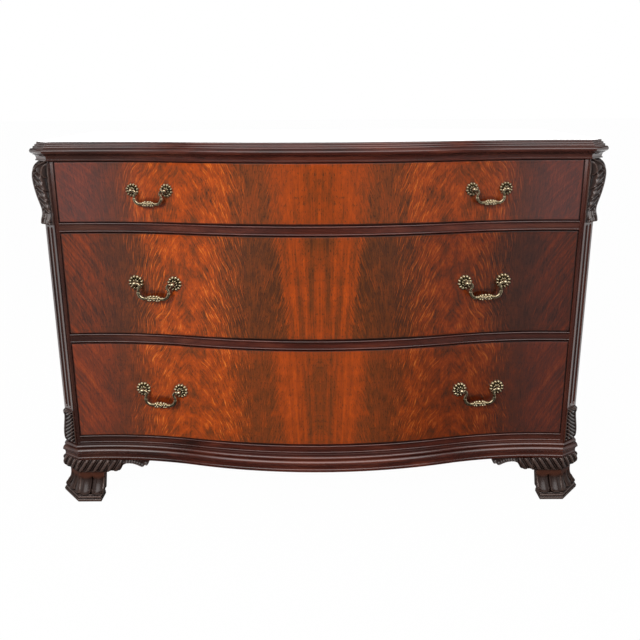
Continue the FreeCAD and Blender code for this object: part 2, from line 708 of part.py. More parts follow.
class Handle:
    """One bail handle: its two posts stand square to the hollow of the drawer front."""

    def __init__(self, side, pivot_height, spacing):
        self.side = side
        self.height = pivot_height
        self.scale = spacing / dim("pivot_spacing")
        self.half_span = spacing / 2
        self.hollow = Vector(side * case_plan.hollow_x, case_plan.hollow_y, 0)
        away = case_plan.hollow_x - dim("handle_place")
        self.turn = side * math.asin(away / dim("hollow_radius"))
        self.reach = dim("pivot_reach") * self.scale
        spread = self.half_span / (dim("hollow_radius") - self.reach)
        self.post_turns = [self.turn - math.asin(spread), self.turn + math.asin(spread)]

    def radial(self, turn, distance, height=0):
        """Point at a distance in front of the drawer face, on the ray with this turn."""
        radius = dim("hollow_radius") - distance
        return self.hollow + Vector(-radius * math.sin(turn), radius * math.cos(turn), self.height + height)

    def outward(self, turn):
        """Direction from the drawer face towards the front."""
        return Vector(math.sin(turn), -math.cos(turn), 0)

    def along(self):
        """Direction of the pivot axis, towards the right."""
        return Vector(math.cos(self.turn), math.sin(self.turn), 0)

    def pivot_middle(self):
        """Middle of the pivot axis."""
        first, second = (self.radial(turn, self.reach) for turn in self.post_turns)
        return (first + second) * 0.5

    def lathe(self, turn, outline):
        """Turned piece on the axis of one post, from (distance out, radius) points."""
        points = [Vector(radius, 0, out) for out, radius in outline]
        turned = Part.Face(loop(points)).revolve(Vector(0, 0, 0), Vector(0, 0, 1), 360)
        turned.Placement = Placement(self.radial(turn, 0), Rotation(Vector(0, 0, 1), self.outward(turn)))
        return turned

    def rosette(self, turn):
        """Domed flower plate with a hole for the post."""
        rim = dim("rosette_radius") * self.scale
        hole = (dim("shank_radius") + SHANK_FIT) * self.scale
        outline = [(ROSETTE_BACK, hole)]
        outline += [(out, rim * share) for out, share in ROSETTE_DOME]
        outline.append((ROSETTE_DOME[-1][0], hole))
        return self.lathe(turn, outline)

    def post(self, turn):
        """Turned post: threaded shank, collar and the ball that holds the pivot pin."""
        shank = dim("shank_radius") * self.scale
        inside = -dim("front_thickness") - SHANK_END
        ball = dim("knuckle_radius") * self.scale
        outline = [(inside, 0), (inside, shank), (COLLAR[0][0], shank)]
        outline += [(out, shank * share) for out, share in COLLAR]
        outline += [(self.reach, shank * COLLAR[-1][1]), (self.reach, 0)]
        turned = self.lathe(turn, outline).fuse(Part.makeSphere(ball, self.radial(turn, self.reach)))
        return turned.cut(self.pin_hole(turn)).removeSplitter()

    def pin_hole(self, turn):
        """Blind hole in the inner side of a post's ball, on the pivot axis."""
        middle = self.radial(turn, self.reach)
        inner = (self.pivot_middle() - middle).normalize()
        radius = dim("pin_radius") * self.scale + dim("pin_clearance")
        start = middle + inner * (PIN_HOLE_START * self.scale)
        return Part.makeCylinder(radius, 3 * dim("knuckle_radius"), start, inner)

    def nut(self, turn):
        """Square nut inside the drawer."""
        size = NUT_SIZE * self.scale
        plate = Part.makeBox(size, size, NUT_THICKNESS, Vector(-size / 2, -size / 2, 0))
        plate = plate.cut(Part.makeCylinder((dim("shank_radius") + SHANK_FIT) * self.scale, NUT_THICKNESS))
        seat = self.radial(turn, -dim("front_thickness") - NUT_THICKNESS - NUT_GAP)
        plate.Placement = Placement(seat, Rotation(Vector(0, 0, 1), self.outward(turn)))
        return plate

    def hole(self, turn):
        """Boring through the drawer front for one post."""
        radius = (dim("shank_radius") + BORING_FIT) * self.scale
        margin = dim("front_thickness")
        return Part.makeCylinder(radius, 3 * margin, self.radial(turn, -2 * margin), self.outward(turn))

    def bail(self):
        """Swan-neck bail: pins, bent arms and a swelling grip, hanging down."""
        scale = self.scale
        span = self.half_span
        pin_end = span - PIN_SETBACK * scale
        hook = span - HOOK_SETBACK * scale
        bend = HOOK_BEND * scale
        neck = hook - bend
        arm = span - ARM_SETBACK * scale
        fall = SWAN_FALL * scale
        drop = dim("bail_drop") * scale
        sweep = KNEE_SWEEP * scale
        knee = drop - sweep
        slope = ((neck + arm) / 2, -bend - fall / 2)
        turn_mid = (hook - bend * DIAGONAL, -bend + bend * DIAGONAL)
        curve = self.swan_curve(neck, -bend, arm, -bend - fall)
        sweep_mid = (arm - sweep + sweep * DIAGONAL, -knee - sweep * DIAGONAL)
        edges = [self.arc((hook, 0), turn_mid, (neck, -bend)),
                 self.arc((neck, -bend), curve[0], slope),
                 self.arc(slope, curve[1], (arm, -bend - fall)),
                 self.edge((arm, -bend - fall), (arm, -knee)),
                 self.arc((arm, -knee), sweep_mid, (arm - sweep, -drop))]
        mirror_edges = []
        for edge in reversed(edges):
            mirror_edges.append(edge.mirror(Vector(0, 0, 0), Vector(1, 0, 0)))
        grip = self.edge((arm - sweep, -drop), (sweep - arm, -drop))
        path = Part.Wire(edges + [grip] + mirror_edges)
        end_ring = Part.makeCircle(dim("bail_radius") * scale, Vector(hook, 0, 0), Vector(1, 0, 0))
        rod = path.makePipeShell([Part.Wire(end_ring)], True, True)
        pins = [Part.makeCylinder(dim("pin_radius") * scale, pin_end - hook + bend / 4,
                                  Vector(side * (hook - bend / 4), 0, 0), Vector(side, 0, 0))
                for side in (-1, 1)]
        swell = self.grip_swell(arm - sweep, drop)
        bail = rod.fuse([swell] + pins).removeSplitter()
        bail.Placement = Placement(self.pivot_middle(), Rotation(Vector(1, 0, 0), self.along()))
        return bail

    def swan_curve(self, start_x, start_z, end_x, end_z):
        """Middle points of the two equal arcs that shift an arm sideways."""
        shift = end_x - start_x
        length = start_z - end_z
        angle = 2 * math.atan(shift / length)
        radius = length / (2 * math.sin(angle))
        half = angle / 2
        out = radius * (1 - math.cos(half))
        down = radius * math.sin(half)
        return (start_x + out, start_z - down), (end_x - out, end_z + down)

    def edge(self, start, end):
        """Straight edge in the plane of the hanging bail."""
        return line(Vector(start[0], 0, start[1]), Vector(end[0], 0, end[1]))

    def arc(self, start, middle, end):
        """Arc in the plane of the hanging bail."""
        points = [Vector(x, 0, z) for x, z in (start, middle, end)]
        return Part.Arc(*points).toShape()

    def grip_swell(self, reach, drop):
        """Turned swelling of the grip, with three rolls at its middle."""
        rolls = [(-place * self.scale, radius * self.scale) for place, radius in GRIP_ROLLS]
        outline = [(-reach, 0), (-reach, rolls[0][1])] + rolls
        outline += [(-x, radius) for x, radius in reversed(outline[:-1])]
        points = [Vector(x, 0, radius) for x, radius in outline]
        turned = Part.Face(loop(points)).revolve(Vector(0, 0, 0), Vector(1, 0, 0), 360)
        turned.translate(Vector(0, 0, -drop))
        return turned


# Drawers
LINING_GAP = 0.5


def drawer_front(label, floor, opening, handles):
    """Bowed drawer front, hollowed behind and bored for its handles."""
    half = "(dims.opening_width / 2 - dims.side_gap)"
    bottom = f"{floor} + dims.floor_gap"
    height = f"{opening} - dims.floor_gap - dims.head_gap"
    blank = serpentine_body(f"{label}_blank", bottom, height, "0", half, "dims.rail_back")
    inner = serpentine_sketch(blank, f"{label}_inside", "dims.front_thickness",
                              "(dims.opening_width / 2 + dims.strip_width)", "dims.post_back")
    pocket = blank.newObject("PartDesign::Pocket", f"{label}_hollow")
    pocket.Profile = inner
    pocket.setExpression("Length", height)
    pocket.Reversed = True
    borings = doc.addObject("Part::Feature", f"{label}_borings")
    borings.Shape = Part.makeCompound([handle.hole(turn) for handle in handles for turn in handle.post_turns])
    front = doc.addObject("Part::Cut", label)
    front.Base = blank
    front.Tool = borings
    return keep(front, label)


def side_front():
    """Y where a drawer side meets the inside of its front."""
    inner_x = half_opening - dim("side_gap") - LINING_GAP - dim("lining_thickness")
    return math.ceil(case_plan.face(inner_x, -dim("front_thickness")) * 100) / 100


def make_drawer(name, floor, opening, floor_height, opening_height, spacing):
    """One drawer with its two handles."""
    pivot_height = floor_height + opening_height / 2 + dim("handle_rise")
    handles = [Handle(side, pivot_height, spacing) for _, side in SIDES]
    drawer_front(f"{name}_drawer_front", floor, opening, handles)
    near = f"dims.opening_width / 2 - dims.side_gap - {LINING_GAP} - dims.lining_thickness"
    side_bottom = f"{floor} + dims.run_gap"
    side_height = f"{opening} - dims.side_drop"
    start = side_front()
    linings = [board(f"{name}_drawer_{side_name}_side",
                     ("dims.lining_thickness", f"dims.drawer_back - ({start})", side_height),
                     (low_x(side, near, "dims.lining_thickness"), str(start), side_bottom))
               for side_name, side in SIDES]
    group(f"{name}_drawer_sides", linings)
    bottom_z = f"{side_bottom} + dims.bottom_rise"
    bottom = serpentine_body(f"{name}_drawer_bottom", bottom_z, "dims.bottom_thickness",
                             "dims.front_thickness", f"({near})", "dims.drawer_back", True)
    keep(bottom, f"{name}_drawer_bottom")
    back = board(f"{name}_drawer_back",
                 (f"2 * ({near})", "dims.lining_thickness",
                  f"{side_height} - dims.bottom_rise - dims.bottom_thickness - dims.side_drop"),
                 (f"-({near})", "dims.drawer_back - dims.lining_thickness",
                  f"{bottom_z} + dims.bottom_thickness"))
    keep(back, f"{name}_drawer_back")
    pairs = [(handle, turn) for handle in handles for turn in handle.post_turns]
    feature(f"{name}_handle_rosettes", Part.makeCompound([handle.rosette(turn) for handle, turn in pairs]))
    feature(f"{name}_handle_posts", Part.makeCompound([handle.post(turn) for handle, turn in pairs]))
    feature(f"{name}_handle_nuts", Part.makeCompound([handle.nut(turn) for handle, turn in pairs]))
    for (side_name, _), handle in zip(SIDES, handles):
        feature(f"{name}_{side_name}_bail", handle.bail())


def make_drawers():
    """The three drawers, from the bottom up."""
    large = dim("pivot_spacing")
    make_drawer("lower", SILL_TOP, "dims.lower_opening", sill_top, dim("lower_opening"), large)
    make_drawer("middle", MIDDLE_FLOOR, "dims.middle_opening", middle_floor, dim("middle_opening"), large)
    make_drawer("upper", UPPER_FLOOR, "dims.upper_opening", upper_floor, dim("upper_opening"),
                dim("small_pivot_spacing"))


def check_pieces():
    """Stop if any object failed to build or any piece is not a sound solid."""
    for thing in doc.Objects:
        if "Invalid" in thing.State or "Error" in thing.State:
            raise RuntimeError(f"{thing.Label} failed: {thing.State}")
    for piece in nodes:
        shape = piece.Shape
        if shape.isNull() or not shape.isValid() or not shape.Solids:
            raise RuntimeError(f"{piece.Label} is not a sound solid")


def write_pieces():
    """Write one STEP file for each piece."""
    os.makedirs("parts", exist_ok=True)
    for piece in nodes:
        piece.Shape.exportStep(os.path.join("parts", f"{piece.Label}.step"))


make_top()
make_front_rails()
make_case_sides()
make_runners()
make_mouldings("base_moulding", base_plan, base_profile(), BASE_SHARE)
make_carving()
make_drawers()
doc.recompute()
check_pieces()
write_pieces()
for piece in nodes:
    print(piece.Label, len(piece.Shape.Solids), round(piece.Shape.Volume))
print(len(nodes), "pieces")
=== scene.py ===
"""Looks of the serpentine chest of drawers, dressed round its packed construction."""

import logging
import math
from collections.abc import Callable, Iterator, Sequence
from contextlib import contextmanager
from dataclasses import dataclass
from enum import Enum

import bpy
import numpy as np
from mathutils import Matrix, Vector


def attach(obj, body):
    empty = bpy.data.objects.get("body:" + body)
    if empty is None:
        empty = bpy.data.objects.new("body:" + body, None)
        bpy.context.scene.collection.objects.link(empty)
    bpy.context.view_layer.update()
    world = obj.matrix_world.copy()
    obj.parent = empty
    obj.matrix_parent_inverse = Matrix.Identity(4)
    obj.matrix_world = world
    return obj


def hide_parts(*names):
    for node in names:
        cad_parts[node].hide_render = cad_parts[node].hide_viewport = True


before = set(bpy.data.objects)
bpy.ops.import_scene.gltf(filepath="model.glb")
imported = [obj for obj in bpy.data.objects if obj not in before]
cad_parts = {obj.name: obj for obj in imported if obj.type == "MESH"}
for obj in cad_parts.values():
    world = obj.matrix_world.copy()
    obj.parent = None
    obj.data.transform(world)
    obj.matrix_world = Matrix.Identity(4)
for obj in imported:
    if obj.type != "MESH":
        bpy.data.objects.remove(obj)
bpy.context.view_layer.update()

logging.basicConfig(level=logging.INFO, format="%(message)s")
log = logging.getLogger("chest")

MILLIMETRE = 0.001
DIAGONAL = math.sqrt(0.5)
WHITE = (1.0, 1.0, 1.0, 1.0)

Point = tuple[float, float, float]
Flat = tuple[float, float]
Colour = tuple[float, float, float]
Row = tuple[float, ...]
Curve = tuple[Flat, ...]
Wear = tuple[int, float]
Piece = bpy.types.Object
Pieces = list[Piece]


class Slot(Enum):
    """Material slots of the record."""

    FLAME = "flame_mahogany"
    POLISHED = "polished_mahogany"
    CARVED = "carved_mahogany"
    LINING = "drawer_lining"
    TIMBER = "inner_timber"
    BRASS = "antique_brass"


class Grain(Enum):
    """Direction in which the grain of a piece runs."""

    ALONG_X = 0
    ALONG_Y = 1
    ALONG_Z = 2


class Side(Enum):
    """The two sides of the chest, with the sign of their X."""

    LEFT = -1
    RIGHT = 1

    @property
    def word(self) -> str:
        """Name of the side in node names."""
        return self.name.lower()


# Shader values


class Value:
    """A shader value that is used like a number."""

    def __init__(self, shader: "Shader", socket: bpy.types.NodeSocket) -> None:
        """Wrap one socket."""
        self.shader = shader
        self.socket = socket

    def __add__(self, other: "Number") -> "Value":
        """Sum."""
        return self.shader.maths("ADD", self, other)

    __radd__ = __add__

    def __mul__(self, other: "Number") -> "Value":
        """Product."""
        return self.shader.maths("MULTIPLY", self, other)

    __rmul__ = __mul__

    def __sub__(self, other: "Number") -> "Value":
        """Difference."""
        return self.shader.maths("SUBTRACT", self, other)

    def __rsub__(self, other: "Number") -> "Value":
        """Difference with this value taken away."""
        return self.shader.maths("SUBTRACT", other, self)

    def __truediv__(self, other: "Number") -> "Value":
        """Quotient."""
        return self.shader.maths("DIVIDE", self, other)

    def __pow__(self, other: "Number") -> "Value":
        """Power."""
        return self.shader.maths("POWER", self, other)

    def __abs__(self) -> "Value":
        """Size without its sign."""
        return self.shader.maths("ABSOLUTE", self)

    def rise(self, low: float, high: float) -> "Value":
        """Smooth rise from 0 to 1 between two bounds.

        Args:
            low: Where the rise starts.
            high: Where it ends.

        Returns:
            A value from 0 to 1.
        """
        settings = {"interpolation_type": "SMOOTHSTEP", "clamp": True}
        sockets = {"Value": self, "From Min": low, "From Max": high, "To Min": 0.0, "To Max": 1.0}
        return Value(self.shader, self.shader.node("ShaderNodeMapRange", settings, sockets).outputs["Result"])


Number = Value | float


class Shader:
    """Node tree of one material, or of the world."""

    def __init__(self, holder: bpy.types.Material | bpy.types.World) -> None:
        """Start an empty node tree.

        Args:
            holder: Material or world that gets the tree.
        """
        holder.use_nodes = True
        self.holder = holder
        self.tree = holder.node_tree
        self.tree.nodes.clear()

    @classmethod
    def new(cls, name: str) -> "Shader":
        """Start an empty material."""
        return cls(bpy.data.materials.new(name))

    def node(self, kind: str, settings: dict[str, object],
             sockets: dict[str | int, object]) -> bpy.types.Node:
        """Add a node, set it up and feed its sockets.

        Args:
            kind: Type of the node.
            settings: Properties that are set first.
            sockets: Values or shader values by input name or number.

        Returns:
            The node.
        """
        made = self.tree.nodes.new(kind)
        for key, setting in settings.items():
            setattr(made, key, setting)
        for key, value in sockets.items():
            if isinstance(value, Value):
                self.tree.links.new(value.socket, made.inputs[key])
            else:
                made.inputs[key].default_value = value
        return made

    def maths(self, operation: str, *terms: Number) -> Value:
        """One step of arithmetic."""
        made = self.node("ShaderNodeMath", {"operation": operation}, dict(enumerate(terms)))
        return Value(self, made.outputs[0])

    def place(self) -> tuple[Value, Value, Value]:
        """Place on the object.

        Returns:
            X, Y and Z in millimetres.
        """
        source = self.node("ShaderNodeTexCoord", {}, {})
        split = self.node("ShaderNodeSeparateXYZ", {}, {0: Value(self, source.outputs["Object"])})
        x, y, z = (Value(self, split.outputs[axis]) * (1 / MILLIMETRE) for axis in range(3))
        return x, y, z

    def noise(self, x: Number, y: Number, z: Number = 0.0, detail: float = 2.0, rough: float = 0.5) -> Value:
        """Smooth noise with features about one unit wide.

        Args:
            x: First place.
            y: Second place.
            z: Third place, which also picks the pattern.
            detail: How many finer layers are added.
            rough: Strength of the finer layers.

        Returns:
            A value about 0.5.
        """
        joined = self.node("ShaderNodeCombineXYZ", {}, {0: x, 1: y, 2: z})
        sockets = {"Vector": Value(self, joined.outputs[0]), "Scale": 1.0, "Detail": detail,
                   "Roughness": rough}
        made = self.node("ShaderNodeTexNoise", {"noise_dimensions": "3D"}, sockets)
        return Value(self, made.outputs[0])

    def wear(self) -> Value:
        """How far the surface stands out of its surroundings, from the mesh."""
        made = self.node("ShaderNodeAttribute", {"attribute_name": "wear"}, {})
        return Value(self, made.outputs["Fac"])

    def colours(self, factor: Value, stops: Sequence[tuple[float, Colour]]) -> Value:
        """Colour from a scale.

        Args:
            factor: Place on the scale, from 0 to 1.
            stops: Places with their colours.

        Returns:
            The colour.
        """
        made = self.node("ShaderNodeValToRGB", {}, {0: factor})
        marks = made.color_ramp.elements
        while len(marks) < len(stops):
            marks.new(1.0)
        for mark, (place, colour) in zip(marks, stops):
            mark.position = place
            mark.color = (*colour, 1.0)
        return Value(self, made.outputs[0])

    def blend(self, factor: Number, first: "Value | Colour", second: "Value | Colour",
              way: str = "MIX") -> Value:
        """Mix of two colours.

        Args:
            factor: Share of the second colour.
            first: First colour.
            second: Second colour.
            way: How they are mixed.

        Returns:
            The colour.
        """
        pair = [part if isinstance(part, Value) else (*part, 1.0) for part in (first, second)]
        settings = {"data_type": "RGBA", "blend_type": way, "clamp_factor": True}
        # The colours of a Mix node are its inputs 6 and 7 and its output 2.
        made = self.node("ShaderNodeMix", settings, {0: factor, 6: pair[0], 7: pair[1]})
        return Value(self, made.outputs[2])

    def bump(self, height: Value, depth: float) -> Value:
        """Normal of a finely uneven surface.

        Args:
            height: Height from 0 to 1.
            depth: Depth of the relief in millimetres.

        Returns:
            The normal.
        """
        sockets = {"Strength": 1.0, "Distance": depth * MILLIMETRE, "Height": height}
        made = self.node("ShaderNodeBump", {}, sockets)
        return Value(self, made.outputs[0])

    def mixed(self, factor: Value, first: Value, second: Value) -> Value:
        """Mix of two shaders."""
        made = self.node("ShaderNodeMixShader", {}, {0: factor, 1: first, 2: second})
        return Value(self, made.outputs[0])

    def ray(self, kind: str) -> Value:
        """Whether light of one kind is being followed."""
        return Value(self, self.node("ShaderNodeLightPath", {}, {}).outputs[kind])

    def surface(self, sockets: dict[str | int, object]) -> bpy.types.Material:
        """Finish the material with one surface shader.

        Args:
            sockets: Inputs of the surface shader.

        Returns:
            The material.
        """
        made = self.node("ShaderNodeBsdfPrincipled", {}, sockets)
        self.node("ShaderNodeOutputMaterial", {}, {0: Value(self, made.outputs[0])})
        return self.holder


# Finishes


@dataclass(frozen=True)
class FlameVeneer:
    """Flame figure of one drawer front, matched about the middle of the chest and about two seams."""

    name: str
    floor: float
    height: float
    pattern: float
    stem: float
    depth: float
    # The next two set how strong the painted reflection haze at the ends and the painted shade on the right
    # half are; the third is the centre of the painted bail shadow.
    haze: float
    dusk: float
    grip: Flat
    seam: float = 300.0
    climb: float = 41.0
    front_end: float = 574.0
    # Half width and half height of the painted bail shadow.
    patch_half: Flat = (36.0, 12.0)
    shade: Colour = (0.040, 0.015, 0.007)
    brown: Colour = (0.100, 0.026, 0.007)
    red: Colour = (0.190, 0.031, 0.005)
    orange: Colour = (0.310, 0.046, 0.004)
    bright: Colour = (0.500, 0.125, 0.014)
    # The colours below are painted light: reflection haze at the ends, shade of the right half, shade of the
    # ends, shadow and reflection behind the bails, and shadow in the gaps round the front.
    film: Colour = (0.052, 0.038, 0.042)
    dimmed: Colour = (0.52, 0.50, 0.58)
    greyed: Colour = (0.66, 0.66, 0.90)
    grime: Colour = (0.30, 0.20, 0.20)
    edge: Colour = (0.08, 0.06, 0.06)

    def make(self) -> bpy.types.Material:
        """Build the material.

        Returns:
            The material.
        """
        shader = Shader.new(self.name)
        x, _, z = shader.place()
        across = abs(x)
        up = z - self.floor
        fibres = shader.noise(x / 1.5, z / 60.0, self.pattern + 31.0, 3.0, 0.65)
        mottle = shader.noise(across / 24.0, up / 34.0, self.pattern + 43.0, 4.0, 0.6)
        specks = shader.noise(across / 2.2, up / 6.5, self.pattern + 51.0, 2.0, 0.6)
        tone = self.figure(shader, across, up, mottle)
        tone = tone + (fibres - 0.5) * 0.42 - specks.rise(0.56, 0.70) * 0.24
        scale = ((0.05, self.shade), (0.28, self.brown), (0.46, self.red), (0.66, self.orange),
                 (0.95, self.bright))
        wood = self.aged(shader, shader.colours(tone, scale), x, z)
        # Painted shadow of the gaps round the front; along this line the veneer is also made rough and left
        # without coat, so it shows no highlight.
        rim = self.rim(across, up)
        wood = shader.blend(rim, wood, self.edge, "MULTIPLY")
        gloss = 0.24 + (mottle - 0.5) * 0.10 + (fibres - 0.5) * 0.06 + rim * 0.4
        grain = fibres * 0.7 - specks * 0.3
        return shader.surface({"Base Color": wood, "Roughness": gloss, "Normal": shader.bump(grain, 0.05),
                               "Coat Weight": 0.25 - rim * 0.25, "Coat Roughness": 0.10,
                               "Specular IOR Level": 0.3})

    def figure(self, shader: Shader, across: Value, up: Value, mottle: Value) -> Value:
        """Light and dark of the figure: plumes beside each seam and a striped heart between them.

        Args:
            shader: Material that gets the figure.
            across: Distance from the middle of the chest.
            up: Height above the bottom of the front.
            mottle: Soft patches.

        Returns:
            A tone from 0 for dark to 1 for light.
        """
        share = up / self.height
        drift = shader.noise(across / 150.0, up / 190.0, self.pattern) - 0.5
        swirl = shader.noise(across / 44.0, up / 62.0, self.pattern + 7.0, 1.0) - 0.5
        leaf = abs(across - self.seam + drift * 34.0)
        stray = leaf - self.stem + drift * 44.0 + swirl * 14.0
        out = abs(stray)
        lean = across.rise(430.0, 560.0) * 240.0
        flame = up - (out + 2.0) ** 0.5 * self.climb + swirl * 20.0 - lean
        dashes = shader.noise(flame / 4.0, up / 30.0, self.pattern + 13.0, 2.0, 0.55)
        threads = shader.noise(flame / 1.8, up / 22.0, self.pattern + 21.0, 3.0, 0.65)
        veins = shader.noise(flame / 13.0, up / 46.0, self.pattern + 47.0, 3.0, 0.55)
        fan = across * (1.33 - share * 0.33)
        stripes = shader.noise(fan / 12.0, up / 380.0, self.pattern + 57.0, 5.0, 0.70)
        feathered = stray + (dashes - 0.5) * 60.0 + (share - 1.0) * 22.0
        seam_side = 1.0 - stray.rise(-20.0, 24.0)
        inside = 1.0 - across.rise(380.0, 470.0)
        middle = 64.0 * self.depth
        soft = 60.0 - 48.0 * self.depth
        heart = feathered.rise(middle - soft, middle + soft) * inside
        plume = (1.0 - out.rise(10.0, 105.0 * self.depth) * seam_side) * (1.0 - heart)
        reach = seam_side * out.rise(0.0, 14.0) * (1.0 - out.rise(80.0, 140.0) * 0.75)
        reach = reach + (1.0 - seam_side) * 0.4 * (1.0 - heart)
        reach = reach * (0.4 + 0.6 * self.depth)
        match = 1.0 - leaf.rise(30.0, 90.0)
        # The strength of the painted shade on the right half also sets how much darker the middle line of the
        # heart is.
        glow = across.rise(15.0, 70.0) * (0.02 + 0.16 * self.dusk)
        tone = 0.53 - plume * 0.31 * self.depth - heart * (0.15 * self.dusk - glow)
        tone = tone + (mottle - 0.5) * (0.80 + match * 0.30) * (1.0 - heart * 0.45) * (1.0 - plume * 0.45)
        tone = tone + (veins - 0.5) * 0.34 * (1.0 - heart * 0.8) - match * 0.05
        tone = tone + dashes.rise(0.56, 0.70) * 0.54 * reach
        tone = tone - (1.0 - dashes.rise(0.36, 0.48)) * 0.16 * reach
        tone = tone + (threads - 0.5) * 0.68 * (1.0 - heart * 0.6)
        striped = heart * (1.4 * self.depth - 0.35) + across.rise(455.0, 520.0)
        tone = tone + (stripes - 0.5) * striped + (1.0 - inside) * (1.0 - plume) * (mottle - 0.6) * 0.5
        return tone + across.rise(455.0, 530.0) * 0.16

    def aged(self, shader: Shader, wood: Value, x: Value, z: Value) -> Value:
        """Veneer with painted shade on its right half, painted reflection haze at its ends and a painted
        shadow and reflection behind each bail.

        Args:
            shader: Material of the veneer.
            wood: Colour of the fresh veneer.
            x: Place across the chest.
            z: Height above the floor.

        Returns:
            The colour.
        """
        across = abs(x)
        # Painted shade: the right half of the front is darkened as if the light came from the left.
        wood = shader.blend(x.rise(60.0, 300.0) * self.dusk, wood, self.dimmed, "MULTIPLY")
        # Painted reflection haze: towards the ends the front is darkened and greyed, then mixed toward a grey
        # tint by the haze strength.
        ends = across.rise(330.0, 540.0)
        wood = shader.blend(ends * 0.85, wood, self.greyed, "MULTIPLY")
        wood = shader.blend(ends * self.haze, wood, self.film)
        # Painted shadow and reflection of the bail: a dark patch on the front behind each bail.
        wide = (across - self.grip[0]) / self.patch_half[0]
        high = (z - self.grip[1]) / self.patch_half[1]
        bail_shade = 1.0 - (wide * wide + high * high).rise(0.3, 1.3)
        return shader.blend(bail_shade * 0.75, wood, self.grime, "MULTIPLY")

    def rim(self, across: Value, up: Value) -> Value:
        """Painted shadow of the gaps round the front: a dark line, wider below its middle.

        Args:
            across: Distance from the middle of the chest.
            up: Height above the bottom of the front.

        Returns:
            1 on the line and 0 inside it.
        """
        sag = 1.8 - across.rise(100.0, 450.0) * 1.8
        clear = (up - sag).rise(1.8, 4.2) * (self.height - up).rise(1.8, 4.6)
        return 1.0 - clear * (self.front_end - across).rise(0.8, 3.8)


@dataclass(frozen=True)
class StraightTimber:
    """Straight-grained timber, polished or plain."""

    name: str
    grain: Grain
    dark: Colour
    middle: Colour
    light: Colour
    roughness: float
    coat: float
    coat_roughness: float = 0.14
    waxed_above: float = 0.0
    dulled: float = 0.0
    dull: Colour = (0.50, 0.86, 1.0)

    def make(self) -> bpy.types.Material:
        """Build the material.

        Returns:
            The material.
        """
        shader = Shader.new(self.name)
        places = shader.place()
        along = places[self.grain.value]
        others = [place for number, place in enumerate(places) if number != self.grain.value]
        bands = shader.noise(others[0] / 14.0, others[1] / 14.0, along / 520.0, 3.0, 0.55)
        fibres = shader.noise(others[0] / 1.8, others[1] / 1.8, along / 70.0, 3.0, 0.6)
        cloud = shader.noise(others[0] / 90.0, others[1] / 90.0, along / 160.0, 3.0, 0.6)
        pores = shader.noise(others[0] / 0.8, others[1] / 0.8, along / 12.0, 1.0).rise(0.60, 0.74)
        tone = 0.5 + (bands - 0.5) * 0.9 + (fibres - 0.5) * 0.45 + (cloud - 0.5) * 0.7
        wood = shader.colours(tone, ((0.15, self.dark), (0.5, self.middle), (0.88, self.light)))
        wood = shader.blend(pores * 0.45, wood, tuple(part * 0.4 for part in self.dark))
        # Painted shade: the front of each polished part darkens and greys towards the corners, the left more
        # than the right.
        corner = (0.0 - places[0]).rise(200.0, 560.0) + places[0].rise(250.0, 560.0) * 0.5
        corner = corner * (1.0 - places[1].rise(-150.0, -90.0))
        wood = shader.blend(corner * self.dulled, wood, self.dull, "MULTIPLY")
        gloss = self.roughness + (cloud - 0.5) * 0.16 + (fibres - 0.5) * 0.06
        grain = fibres * 0.6 + (1.0 - pores) * 0.4
        coat = self.coat
        if self.waxed_above:
            coat = self.coat * (0.25 + places[2].rise(self.waxed_above - 0.5, self.waxed_above) * 0.75)
        return shader.surface({"Base Color": wood, "Roughness": gloss, "Normal": shader.bump(grain, 0.06),
                               "Coat Weight": coat, "Coat Roughness": self.coat_roughness,
                               "Specular IOR Level": 0.3})


@dataclass(frozen=True)
class CarvedTimber:
    """Dark stained carving, rubbed light on its edges and left matt in its hollows."""

    name: str
    hollow: Colour = (0.004, 0.002, 0.0018)
    stain: Colour = (0.018, 0.009, 0.007)
    rubbed: Colour = (0.060, 0.037, 0.030)
    neck: Colour = (0.060, 0.017, 0.008)

    def make(self) -> bpy.types.Material:
        """Build the material.

        Returns:
            The material.
        """
        shader = Shader.new(self.name)
        x, y, z = shader.place()
        stand = shader.wear()
        fibres = shader.noise(x / 1.5, y / 1.5, z / 38.0, 3.0, 0.6)
        cloud = shader.noise(x / 26.0, y / 26.0, z / 34.0, 3.0, 0.6)
        tone = stand + (fibres - 0.5) * 0.16 + (cloud - 0.5) * 0.22
        scale = ((0.18, self.hollow), (0.48, self.stain), (0.60, self.stain), (0.92, self.rubbed))
        wood = shader.colours(tone, scale)
        neck = z.rise(50.0, 60.0) * (1.0 - z.rise(67.0, 74.0))
        wood = shader.blend(neck * 0.7, wood, self.neck)
        low = 1.0 - z.rise(46.0, 62.0)
        gloss = 0.32 + (cloud - 0.5) * 0.2 - (stand - 0.5) * 0.22 + low * 0.12
        coat = stand.rise(0.25, 0.6) * 0.3 * (1.0 - neck) * (1.0 - low * 0.5)
        return shader.surface({"Base Color": wood, "Roughness": gloss, "Normal": shader.bump(fibres, 0.08),
                               "Coat Weight": coat, "Coat Roughness": 0.14, "Specular IOR Level": 0.3})


@dataclass(frozen=True)
class AgedBrass:
    """Cast brass, dark in its hollows and rubbed bright where hands reach it."""

    name: str
    patina: Colour = (0.012, 0.009, 0.006)
    brass: Colour = (0.140, 0.104, 0.055)
    rubbed: Colour = (0.500, 0.410, 0.265)

    def make(self) -> bpy.types.Material:
        """Build the material.

        Returns:
            The material.
        """
        shader = Shader.new(self.name)
        x, y, z = shader.place()
        stand = shader.wear()
        cloud = shader.noise(x / 9.0, y / 9.0, z / 9.0, 4.0, 0.6)
        specks = shader.noise(x / 1.4, y / 1.4, z / 1.4, 2.0, 0.5)
        tone = stand + (cloud - 0.5) * 0.35 + (specks - 0.5) * 0.12
        metal = shader.colours(tone, ((0.22, self.patina), (0.50, self.brass), (0.85, self.rubbed)))
        gloss = 0.36 + (cloud - 0.5) * 0.25 - (stand - 0.5) * 0.2
        return shader.surface({"Base Color": metal, "Roughness": gloss, "Metallic": 1.0,
                               "Normal": shader.bump(specks, 0.05)})


